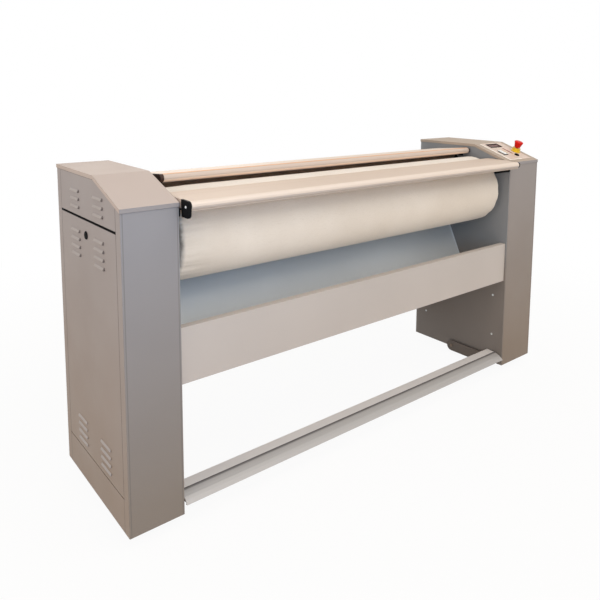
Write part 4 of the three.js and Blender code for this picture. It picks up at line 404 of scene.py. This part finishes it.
# Black for the strips in the finger slots, a painted shade.
SLOT_SHADE_BLACK = moulded("slot_shade_black", (14, 13, 13), 0.75, 0.3, 500.0, Specular_IOR_Level=0.1)
RED = moulded("red_plastic", (216, 24, 8), 0.42, 0.05, Specular_IOR_Level=0.2)
YELLOW = moulded("yellow_plastic", (236, 194, 28), 0.32, 0.06, Coat_Weight=0.2)
FILM = moulded("console_film", (219, 197, 180), 0.42, 0.2, 1400.0, 0.2, Specular_IOR_Level=0.3)
FILM_LIGHT = moulded("console_border", (246, 236, 220), 0.34, 0.1, 1400.0, 0.1)
FILM_RED = moulded("console_stripe", (136, 46, 34), 0.42, 0.1, 1400.0, 0.1, Specular_IOR_Level=0.2)
WINDOW = moulded("window_plastic", (98, 46, 34), 0.3, 0.0, 900.0, 0.1, Specular_IOR_Level=0.2)
WHITE = moulded("white_plastic", (244, 240, 232), 0.3, 0.05)
MACHINE_PAINT = painted("machine_enamel", (74, 86, 98), 0.42, peel=0.1)
ENCLOSURE = moulded("enclosure_plastic", (186, 186, 183), 0.5, 0.25)


def foot_material():
    """Levelling foot: a rubber pad under a zinc-plated stem and nut."""
    s = Shader("foot_material", (30, 30, 31), 0.6)
    metal = s.ramp(s.axis("Z"), 8.6 * MM, 8.9 * MM)
    grain = s.noise(260.0)
    s.link(s.mix(metal, s.color, s.mix(grain, srgb(140, 140, 138), srgb(188, 188, 184))), "Base Color")
    s.link(s.ramp(metal, 0.0, 1.0, 0.7, 0.35), "Roughness")
    s.link(metal, "Metallic")
    s.link(s.bump(grain, 0.2, 0.2, s.edges(0.5)), "Normal")
    return s.material


def cap_material():
    """End cap of the feed board: a black nose, behind it the tone of the board."""
    s = Shader("cap_material", (11, 11, 12), 0.55, Specular_IOR_Level=0.1)
    black = s.mix(s.ramp(s.noise(40.0), 0.3, 0.7), shade(s.color, 0.9), shade(s.color, 1.1))
    s.link(s.mix(s.rise("Y", 0, 1), black, srgb(213, 193, 176)), "Base Color")
    s.link(s.bump(s.noise(900.0, 2.0), 0.15, 0.15, s.edges(0.6)), "Normal")
    return s.material


def cloth_material():
    """Padding cloth: plain weave that follows the roll round its axis, with a soft nap."""
    s = Shader("padding_cloth", (236, 229, 219), 0.9, Sheen_Weight=0.25, Sheen_Roughness=0.5)
    up = s.math("SUBTRACT", s.axis("Z"), along("Z", ROLL_Z))
    back = s.math("SUBTRACT", s.axis("Y"), along("Y", ROLL_Y))
    thread = 1.6 * MM

    def threads(distance, shift):
        wave = s.math("SINE", s.math("ADD", s.times(distance, 2 * math.pi / thread), shift))
        return s.times(s.math("ADD", wave, 1.0), 0.5)

    fuzz = s.noise(900.0)
    slub = s.noise(1.0, 3.0, s.stretched((60.0, 260.0, 260.0)))
    warp = threads(s.times(s.math("ARCTAN2", up, back), ROLL_R * MM), s.times(fuzz, 2.0))
    weft = threads(s.axis("X"), s.times(slub, 2.0))
    weave = s.math("MAXIMUM", warp, weft)
    tone = s.mix(s.ramp(s.noise(3.5, 4.0), 0.3, 0.72), srgb(233, 218, 200), srgb(246, 233, 217))
    tone = s.mix(s.times(s.ramp(weave, 0.0, 0.6, 1.0, 0.0), 0.35), tone, srgb(196, 182, 165))
    tone = s.mix(s.times(s.ramp(slub, 0.55, 0.75), 0.25), tone, srgb(216, 199, 179))
    s.link(tone, "Base Color")
    s.link(s.bump(s.math("ADD", s.times(weave, 0.6), s.times(fuzz, 0.4)), 0.5, 0.35), "Normal")
    return s.material


FOOT = foot_material()
CAP = cap_material()
CLOTH = cloth_material()
CORD = moulded("cotton_cord", (214, 206, 192), 0.9, 0.5, 700.0, 0.1)

# ------------------------------------------------------------------ carried-over nodes

LOOKS = {
    SIDE: "left_cabinet_shell right_cabinet_shell left_upper_panel right_upper_panel "
          "left_service_panel right_service_panel rear_cover",
    LID: "left_cabinet_lid",
    RIGHT_LID_SHADED: "right_cabinet_lid",
    CROSS: "front_cross_panel",
    CHUTE: "linen_chute",
    BOARD: "feed_board",
    GUARD: "finger_guard",
    BAR: "foot_bar",
    CHEST: "heated_chest",
    DRUM: "roll_drum",
    STEEL: "roll_idle_journal roll_drive_journal chest_pivot_shaft",
    ZINC: "heating_element pedal_link_rod",
    SHEET: "chest_jacket suction_fan_housing",
    ARM: "pedal_left_arm pedal_right_arm",
    INNER: "chest_left_arm chest_right_arm rear_cross_beam",
    BLACK: "left_panel_lock right_panel_lock roll_button cable_gland suction_fan_wheel",
    CAP: "feed_board_left_cap feed_board_right_cap",
    BROWN: "finger_guard_left_cap finger_guard_right_cap",
    BLACK_STEEL: "feed_board_left_bracket feed_board_right_bracket finger_guard_left_bracket "
                 "finger_guard_right_bracket finger_guard_left_stop finger_guard_right_stop",
    FOOT: "left_front_foot left_rear_foot right_front_foot right_rear_foot",
    MACHINE_PAINT: "worm_reducer drive_motor left_bearing_block right_bearing_block",
    ENCLOSURE: "control_box",
    FILM: "console_film",
    WINDOW: "display_window",
    WHITE: "start_key",
    YELLOW: "emergency_stop_collar",
    RED: "emergency_stop_head",
}
for material, names in LOOKS.items():
    for name in names.split():
        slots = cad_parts[name].data.materials
        slots.clear()
        slots.append(material)

# ------------------------------------------------------------------ mesh helpers

EDGE_ANGLE = 40              # degrees; sharper edges of hard pieces stay crisp
ALL_SMOOTH = 180


def piece(name, bm, material, body, smooth=EDGE_ANGLE):
    """Object of a finished mesh that rides on a body; faces blend under the smooth angle."""
    bmesh.ops.recalc_face_normals(bm, faces=bm.faces)
    mesh = bpy.data.meshes.new(name)
    bm.to_mesh(mesh)
    bm.free()
    obj = bpy.data.objects.new(name, mesh)
    bpy.context.scene.collection.objects.link(obj)
    mesh.materials.append(material)
    if smooth:
        mesh.polygons.foreach_set("use_smooth", [True] * len(mesh.polygons))
        if smooth < ALL_SMOOTH:
            mesh.set_sharp_from_angle(angle=math.radians(smooth))
    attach(obj, body)
    return obj


def add_block(bm, lo, hi, radius=0.0, segments=2, matrix=None):
    """Box between two corners, its edges rounded, added to a mesh under construction."""
    size = Vector(hi) - Vector(lo)
    middle = Matrix.Translation((Vector(hi) + Vector(lo)) / 2)
    verts = bmesh.ops.create_cube(bm, size=1.0, matrix=middle @ Matrix.Diagonal((*size, 1)))["verts"]
    if radius:
        edges = {e for v in verts for e in v.link_edges}
        rounded = bmesh.ops.bevel(bm, geom=list(edges), offset=radius, segments=segments, affect="EDGES")
        verts = list({v for f in rounded["faces"] for v in f.verts} | {v for v in verts if v.is_valid})
    if matrix:
        bmesh.ops.transform(bm, matrix=matrix, verts=verts)


def add_turned(bm, profile, centre, normal, segments=16):
    """Profile of (radius, height) points turned round a normal at a centre, closed at both ends."""
    turn = Vector((0, 0, 1)).rotation_difference(Vector(normal)).to_matrix().to_4x4()
    place = Matrix.Translation(centre) @ turn
    rings = []
    for radius, height in profile:
        angles = [2 * math.pi * i / segments for i in range(segments)] if radius else [0.0]
        rings.append([bm.verts.new(place @ Vector((radius * math.cos(a), radius * math.sin(a), height)))
                      for a in angles])
    for low, high in zip(rings, rings[1:]):
        for i in range(segments):
            j = (i + 1) % segments
            corners = [low[i % len(low)], low[j % len(low)], high[j % len(high)], high[i % len(high)]]
            bm.faces.new([v for k, v in enumerate(corners) if v not in corners[:k]])


def add_tube(bm, rings):
    """Faces between each ring of vertices and the next, and between the last and the first."""
    for here, there in zip(rings, rings[1:] + rings[:1]):
        for j in range(len(here)):
            k = (j + 1) % len(here)
            bm.faces.new((here[j], here[k], there[k], there[j]))


def screw_profile(radius, height):
    """Button head with a round socket."""
    return [(0, -0.2 * height), (radius * 0.9, -0.2 * height), (radius, 0.15 * height),
            (radius * 0.92, 0.6 * height), (radius * 0.68, 0.92 * height), (radius * 0.46, height),
            (radius * 0.4, 0.92 * height), (radius * 0.38, 0.35 * height), (0, 0.3 * height)]


def screws(name, places, material, radius, height):
    """Screw heads at machine points, each with the normal of the face that it sits on."""
    bm = bmesh.new()
    profile = [(r * MM, h * MM) for r, h in screw_profile(radius, height)]
    for point, normal in places:
        add_turned(bm, profile, at(*point), normal)
    piece(name, bm, material, "frame")


# ------------------------------------------------------------------ roll padding

HALF_LENGTH = 807.5
SHOULDER = 14.0              # radius of the rounded end
MOUTH = 66.0                 # radius of the opening that the string draws in
INNER_R = 138.6
RUN_OUT = 90.0               # how far the gathering reaches along the roll
GATHERS = 14
CREASE_DEPTH = 8.5
CREASE_PULL = 7.5            # how far a crease draws the end face in
WAVINESS = 0.35
COVER_SEGMENTS = 336
LEFT, RIGHT = -1, 1


def padding_profile():
    """Half of the cover's section, outside and inside, as (distance from the middle, radius,
    gathering 0 to 1)."""
    body = [(HALF_LENGTH * share, ROLL_R, 0.0) for share in (0.0, 0.25, 0.5, 0.7, 0.82)]
    run_out = [(HALF_LENGTH - SHOULDER - d, ROLL_R, 0.42 * (1 - d / RUN_OUT) ** 2)
               for d in (86, 68, 50, 34, 20, 9)]
    shoulder = []
    for i in range(9):
        turn = math.radians(90 - 90 * i / 8)
        shoulder.append((HALF_LENGTH - SHOULDER + SHOULDER * math.cos(turn),
                         ROLL_R - SHOULDER + SHOULDER * math.sin(turn), 0.45 + 0.55 * i / 8))
    face = []
    for i in range(1, 9):
        share = i / 8
        face.append((HALF_LENGTH - 1.5 * math.sin(math.pi * share) - 5.0 * share ** 3,
                     ROLL_R - SHOULDER - (ROLL_R - SHOULDER - MOUTH) * share, 1.0 - 0.35 * share))
    lip = [(HALF_LENGTH - 9.0, MOUTH - 0.5, 0.5), (HALF_LENGTH - 11.4, MOUTH + 1.0, 0.2),
           (HALF_LENGTH - 11.5, INNER_R - 4, 0.0), (HALF_LENGTH - 12.5, INNER_R, 0.0)]
    inside = [(HALF_LENGTH * share, INNER_R, 0.0) for share in (0.8, 0.4, 0.0)]
    return body + run_out + shoulder + face + lip, inside


def fold_depth(angle, side):
    """How far the cloth sinks at an angle round an end, 0 on a fold's crest to 1 in a crease."""
    def drift(scale, seed):
        return noise.noise(Vector((math.cos(angle) * scale, math.sin(angle) * scale, seed + side)))

    wander = 0.9 * drift(1.3, 3.0)
    crease = 1 - abs(math.sin(GATHERS * angle / 2 + 1.7 * wander + 0.6 * side)) ** 0.75
    uneven = 0.75 + 0.5 * drift(2.5, 8.0)
    pleat = 0.22 * (1 - abs(math.sin(GATHERS * 1.5 * angle + 2.6 * wander)))
    return min(1.0, crease * uneven + pleat)


def cover_point(x, r, gather, side, angle, sink):
    """Point of the cover from the roll's centre, drawn in by the gathering; more so at the left."""
    gather = gather ** 0.45 if side == LEFT else 0.6 * gather
    outer = r > INNER_R + 0.5 or abs(x) > HALF_LENGTH - 11
    depth = gather * sink if outer else 0.0
    slope = min(1.0, max(0.0, (abs(x) - (HALF_LENGTH - SHOULDER)) / SHOULDER))
    radius = r - depth * CREASE_DEPTH * (1 - 0.45 * slope)
    if outer and gather < 0.3:
        way_round = Vector((x * 0.006, math.cos(angle) * 2.0, math.sin(angle) * 2.0))
        radius += WAVINESS * noise.noise(way_round)
    return Vector((x - side * depth * CREASE_PULL * slope,
                   radius * math.cos(angle), radius * math.sin(angle)))


def roll_cover():
    """Cloth sleeve with gathered ends, which stands for the CAD model's padding."""
    def on(side, points):
        return [(side * x, r, gather, side) for x, r, gather in points]

    outer, inner = padding_profile()
    section = on(LEFT, outer)[::-1] + on(RIGHT, outer[1:]) + on(RIGHT, inner) + on(LEFT, inner[:-1])[::-1]
    centre = at(ROLL_X, ROLL_Y, ROLL_Z)
    bm = bmesh.new()
    rings = []
    for i in range(COVER_SEGMENTS):
        angle = 2 * math.pi * i / COVER_SEGMENTS
        sink = {side: fold_depth(angle, side) for side in (LEFT, RIGHT)}
        rings.append([bm.verts.new(centre + cover_point(x, r, gather, side, angle, sink[side]) * MM)
                      for x, r, gather, side in section])
    add_tube(bm, rings)
    cover = piece("roll_cover", bm, CLOTH, "roll", ALL_SMOOTH)
    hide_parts("roll_padding")


CORD_SEGMENTS, CORD_SIDES = 160, 10
CORD_R, STRAND = 2.1, 0.5    # mean radius of the cord, and how far its strands stand out
CORD_RING_R = MOUTH + 3.4
CORD_INSET = 4.2             # from the cover's end


def drawstring(name, side):
    """Twisted cord of three strands that draws the cover's end in, lying in the gathered mouth."""
    bm = bmesh.new()
    centre = at(ROLL_X + side * (HALF_LENGTH - CORD_INSET), ROLL_Y, ROLL_Z)
    rings = []
    for i in range(CORD_SEGMENTS):
        angle = 2 * math.pi * i / CORD_SEGMENTS
        wobble = 1.2 * math.sin(GATHERS * angle)
        out = Vector((0, math.cos(angle), math.sin(angle)))
        ring = []
        for j in range(CORD_SIDES):
            spoke = 2 * math.pi * j / CORD_SIDES
            turn = spoke + 30 * angle
            lobed = CORD_R + STRAND * math.cos(3 * spoke + 45 * angle)
            radius = CORD_RING_R + 0.3 * wobble + lobed * math.cos(turn)
            along_x = side * (0.6 * wobble + lobed * math.sin(turn))
            ring.append(bm.verts.new(centre + (out * radius + Vector((along_x, 0, 0))) * MM))
        rings.append(ring)
    add_tube(bm, rings)
    piece(name, bm, CORD, "roll", ALL_SMOOTH)


roll_cover()
drawstring("roll_drawstring_left", LEFT)
drawstring("roll_drawstring_right", RIGHT)

# ------------------------------------------------------------------ cabinets

# Black strips in the finger slots, a painted shade: their thickness, inset from the side and play.
SLOT_SHADE_THICKNESS, SLOT_SHADE_INSET, SLOT_SHADE_PLAY = 3.5, 9.5, 0.4
LID_REAR_Y, COVER_REAR_Y = 530, 524
WALL_SCREWS = ((64, 329), (62, 137), (462, 138), (462, 329))
COVER_SCREWS_X, COVER_SCREWS_Z = (189, 1836), range(200, 951, 150)
BEARING_FACE_INSET = 14.3    # of the bearing's flange, inside the cabinet's inner wall
BEARING_BOLT_OFFSET = 41


def slot_shade_strips():
    """Black strip at the back of each finger slot, a painted shade for the slot's depth."""
    for side, x in (("left", SLOT_SHADE_INSET), ("right", WIDTH - SLOT_SHADE_INSET - SLOT_SHADE_THICKNESS)):
        bm = bmesh.new()
        add_block(bm, at(x, PANEL_FRONT_Y + 2, SLOT_LOW_Z + SLOT_SHADE_PLAY),
                  at(x + SLOT_SHADE_THICKNESS, PANEL_REAR_Y - 2, SLOT_HIGH_Z - SLOT_SHADE_PLAY), 0.5 * MM)
        piece(f"{side}_slot_shade_strip", bm, SLOT_SHADE_BLACK, "frame")


def cabinet_screws():
    """Screws of the inner walls, near-white as a painted glint, of the lids and rear cover, and the bolts
    of the roll's bearings.
    """
    for side, face, inward in (("left", LEFT_FACE_X, 1), ("right", RIGHT_FACE_X, -1)):
        places = [((face, y, z), (inward, 0, 0)) for y, z in WALL_SCREWS]
        # Near-white heads: a painted glint.
        screws(f"{side}_inner_wall_screws", places, GLINT_STEEL, 5.0, 2.6)
    to_rear = (0, 1, 0)
    lid_screws_x = (30, LEFT_LID_X - 30, RIGHT_LID_X + 30, WIDTH - 30)
    places = [((x, LID_REAR_Y, lid_z(LID_REAR_Y) - 6.5), to_rear) for x in lid_screws_x]
    screws("lid_rear_screws", places, ZINC, 3.2, 2.0)
    places = [((x, COVER_REAR_Y, z), to_rear) for x in COVER_SCREWS_X for z in COVER_SCREWS_Z]
    screws("rear_cover_screws", places, ZINC, 4.2, 2.6)
    offsets = (-BEARING_BOLT_OFFSET, BEARING_BOLT_OFFSET)
    for side, face, outward in (("left", LEFT_FACE_X - BEARING_FACE_INSET, -1),
                                ("right", RIGHT_FACE_X + BEARING_FACE_INSET, 1)):
        places = [((face, ROLL_Y + a, ROLL_Z + b), (outward, 0, 0)) for a in offsets for b in offsets]
        screws(f"{side}_bearing_bolts", places, ZINC, 6.0, 4.5)


slot_shade_strips()
cabinet_screws()

# ------------------------------------------------------------------ boards and chute

CAP_OUTER_X = (185, 1840)
CAP_SCREWS = ((-28, 957), (85, 966))
CHUTE_LOW, CHUTE_HIGH = Vector((232, 424)), Vector((344, 660))
LIP_GAP, LIP_HEIGHT = 0.2, 2.2
LIP_START, LIP_END = 0.6, 8  # from the cabinet's inner wall
HEM_LOW, HEM_HIGH = (192.6, -48.2, 945.5), (1832.4, -45.0, 952.0)
# Corners of the dark strip in the foot bar's groove, a painted shade.
GROOVE_SHADE_LOW, GROOVE_SHADE_HIGH = (184, 37.4, 54.8), (1841, 41.6, 56.2)


def board_details():
    """Screws of the feed board's caps, near-white as a painted glint, and the hem under its nose, in a
    darker aluminium as painted shade.
    """
    places = [((x, y, z), (outward, 0, 0)) for x, outward in zip(CAP_OUTER_X, (-1, 1))
              for y, z in CAP_SCREWS]
    screws("feed_cap_screws", places, GLINT_STEEL, 4.2, 1.8)
    bm = bmesh.new()
    add_block(bm, at(*HEM_LOW), at(*HEM_HIGH), 1.2 * MM, 3)
    piece("feed_board_hem", bm, HEM, "frame")


def bar_groove_shade():
    """Dark strip in the foot bar's groove, a painted shade for the groove's depth."""
    bm = bmesh.new()
    add_block(bm, at(*GROOVE_SHADE_LOW), at(*GROOVE_SHADE_HIGH), 0.3 * MM)
    piece("foot_bar_groove_shade", bm, GROOVE_SHADE, "pedal")


def chute_lips():
    """Turned edge along each end of the chute's slope, in the lighter lip paint, a painted highlight."""
    run = (CHUTE_HIGH - CHUTE_LOW).normalized()
    out = Vector((-run.y, run.x))
    section = [CHUTE_LOW + out * LIP_GAP, CHUTE_LOW + out * LIP_HEIGHT,
               CHUTE_HIGH + out * LIP_HEIGHT, CHUTE_HIGH + out * LIP_GAP]
    for side, x0, x1 in (("left", LEFT_FACE_X + LIP_START, LEFT_FACE_X + LIP_END),
                         ("right", RIGHT_FACE_X - LIP_END, RIGHT_FACE_X - LIP_START)):
        bm = bmesh.new()
        ends = [[bm.verts.new(at(x, p.x, p.y)) for p in section] for x in (x0, x1)]
        bm.faces.new(ends[0])
        bm.faces.new(ends[1][::-1])
        for i in range(4):
            j = (i + 1) % 4
            bm.faces.new((ends[0][i], ends[0][j], ends[1][j], ends[1][i]))
        piece(f"chute_{side}_lip", bm, LIP, "frame", smooth=None)


board_details()
bar_groove_shade()
chute_lips()

# ------------------------------------------------------------------ console

SLOPE_FRAME = (Matrix.Translation(at(RIGHT_LID_X, 0, LID_FRONT_Z))
               @ Matrix.Rotation(math.atan2(SLOPE_RISE, SLOPE_RUN), 4, "X"))
FILM_TOP = 1.5
FOIL = 0.25                  # thickness of the border and the stripe


def on_slope(name, boxes, material, radius=0.0):
    """Low boxes on the console: x from the inner side, s up the slope, height above the film."""
    bm = bmesh.new()
    for x0, x1, s0, s1, height in boxes:
        low, high = Vector((x0, s0, FILM_TOP)), Vector((x1, s1, FILM_TOP + height))
        add_block(bm, low * MM, high * MM, radius * MM, 2, SLOPE_FRAME)
    piece(name, bm, material, "frame")


def frame_boxes(x0, x1, s0, s1, width, height):
    """Four low boxes round an opening."""
    return [(x0, x1, s0, s0 + width, height), (x0, x1, s1 - width, s1, height),
            (x0, x0 + width, s0 + width, s1 - width, height),
            (x1 - width, x1, s0 + width, s1 - width, height)]


def console():
    """Border and stripe on the film, frames of the window and the key with a painted shadow of the key, and
    three lamps.
    """
    border = [(30.5, 40, 22.5, 203.5, FOIL), (40, 130, 22.5, 29, FOIL)]
    on_slope("console_border", border, FILM_LIGHT)
    on_slope("console_stripe", [(129.5, 138, 82, 141, FOIL)], FILM_RED)
    on_slope("window_frame", frame_boxes(61.5, 153.5, 154.5, 192.5, 6.5, 1.1), BLACK, 0.3)
    # The last two boxes, on the key's inner and lower sides, are a painted shadow of the key.
    key_rim_and_shadow = frame_boxes(61.8, 87.2, 76.8, 122.2, 1.7, 0.8) + [
        (56.5, 62, 76.8, 112, 1.6), (56.5, 88, 72.5, 77.2, 1.4)]
    on_slope("key_frame_and_shadow", key_rim_and_shadow, BLACK, 0.25)
    lit = [(110, 116, 96 + 12 * i, 101 + 12 * i, 0.9) for i in range(3)]
    on_slope("console_lamps", lit, YELLOW, 0.3)


console()

# ------------------------------------------------------------------ floor, backdrop and light

FLOOR_REACH = 12.0
LAMPS = (                    # name, place, aim, size, power in watts, colour
    ("key_lamp", (-1.2, -4.0, 2.2), (0.0, 0.0, 0.6), 2.8, 24, (0.88, 0.94, 1.0)),
    ("top_lamp", (0.2, -2.4, 4.0), (0.1, 0.0, 0.8), 3.4, 90, (1.0, 0.95, 0.89)),
    ("left_lamp", (-3.5, -0.3, 1.9), (-0.9, 0.0, 0.6), 1.8, 25, (1.0, 0.92, 0.86)),
    ("cool_lamp", (-1.4, -2.0, 1.1), (-0.95, -0.26, 0.7), 0.8, 6.5, (0.2, 0.5, 1.0)),
    ("rear_lamp", (1.2, 4.2, 2.6), (0.0, 0.0, 0.6), 2.6, 30, (1.0, 0.97, 0.93)))


def bright_to_camera(tree, lit, white, share, output):
    """Gives camera, glossy and transmission rays a share of white over what lights the scene."""
    def pick(operation, a, b):
        return add_node(tree, "ShaderNodeMath", {0: a, 1: b}, operation=operation).outputs[0]

    path = add_node(tree, "ShaderNodeLightPath").outputs
    seen = pick("MAXIMUM", path["Is Camera Ray"], path["Is Glossy Ray"])
    seen = pick("MAXIMUM", seen, path["Is Transmission Ray"])
    mix = add_node(tree, "ShaderNodeMixShader", {
        0: pick("MULTIPLY", seen, share), 1: lit.outputs[0], 2: white.outputs[0]})
    tree.links.new(mix.outputs[0], tree.nodes[output].inputs["Surface"])


def backdrop():
    """World that lights softly and looks white."""
    world = bpy.data.worlds.new("studio_world")
    bpy.context.scene.world = world
    world.use_nodes = True
    tree = world.node_tree
    background = tree.nodes["Background"]
    background.inputs["Color"].default_value = (0.93, 0.96, 1.0, 1)
    background.inputs["Strength"].default_value = 0.48
    white = add_node(tree, "ShaderNodeBackground", {"Color": (1, 1, 1, 1), "Strength": 1.0})
    bright_to_camera(tree, background, white, 1.0, "World Output")


def studio_floor():
    """White floor; around the machine a little of its shadow shows."""
    mesh = bpy.data.meshes.new("studio_floor")
    corners = [(x * FLOOR_REACH, y * FLOOR_REACH, 0) for x, y in ((-1, -1), (1, -1), (1, 1), (-1, 1))]
    mesh.from_pydata(corners, [], [(0, 1, 2, 3)])
    floor = bpy.data.objects.new("studio_floor", mesh)
    bpy.context.scene.collection.objects.link(floor)
    material = bpy.data.materials.new("floor_paper")
    material.use_nodes = True
    tree = material.node_tree
    surface = tree.nodes["Principled BSDF"]
    surface.inputs["Base Color"].default_value = (0.78, 0.71, 0.62, 1)
    surface.inputs["Roughness"].default_value = 0.9
    glow = add_node(tree, "ShaderNodeEmission", {"Strength": 1.0})
    place = add_node(tree, "ShaderNodeTexCoord").outputs["Object"]
    distance = add_node(tree, "ShaderNodeVectorMath", {0: place}, operation="LENGTH").outputs["Value"]
    share = add_node(tree, "ShaderNodeMapRange", {
        "Value": distance, "From Min": 0.9, "From Max": 3.2, "To Min": 0.94, "To Max": 1.0},
        interpolation_type="SMOOTHSTEP").outputs["Result"]
    bright_to_camera(tree, surface, glow, share, "Material Output")
    mesh.materials.append(material)


def lights():
    for name, place, aim, size, power, color in LAMPS:
        data = bpy.data.lights.new(name, "AREA")
        data.shape = "SQUARE"
        data.size = size
        data.energy = power
        data.color = color
        lamp = bpy.data.objects.new(name, data)
        lamp.location = place
        lamp.rotation_euler = (Vector(aim) - Vector(place)).to_track_quat("-Z", "Y").to_euler()
        bpy.context.scene.collection.objects.link(lamp)


backdrop()
studio_floor()
lights()
bpy.context.scene.view_settings.view_transform = "Standard"
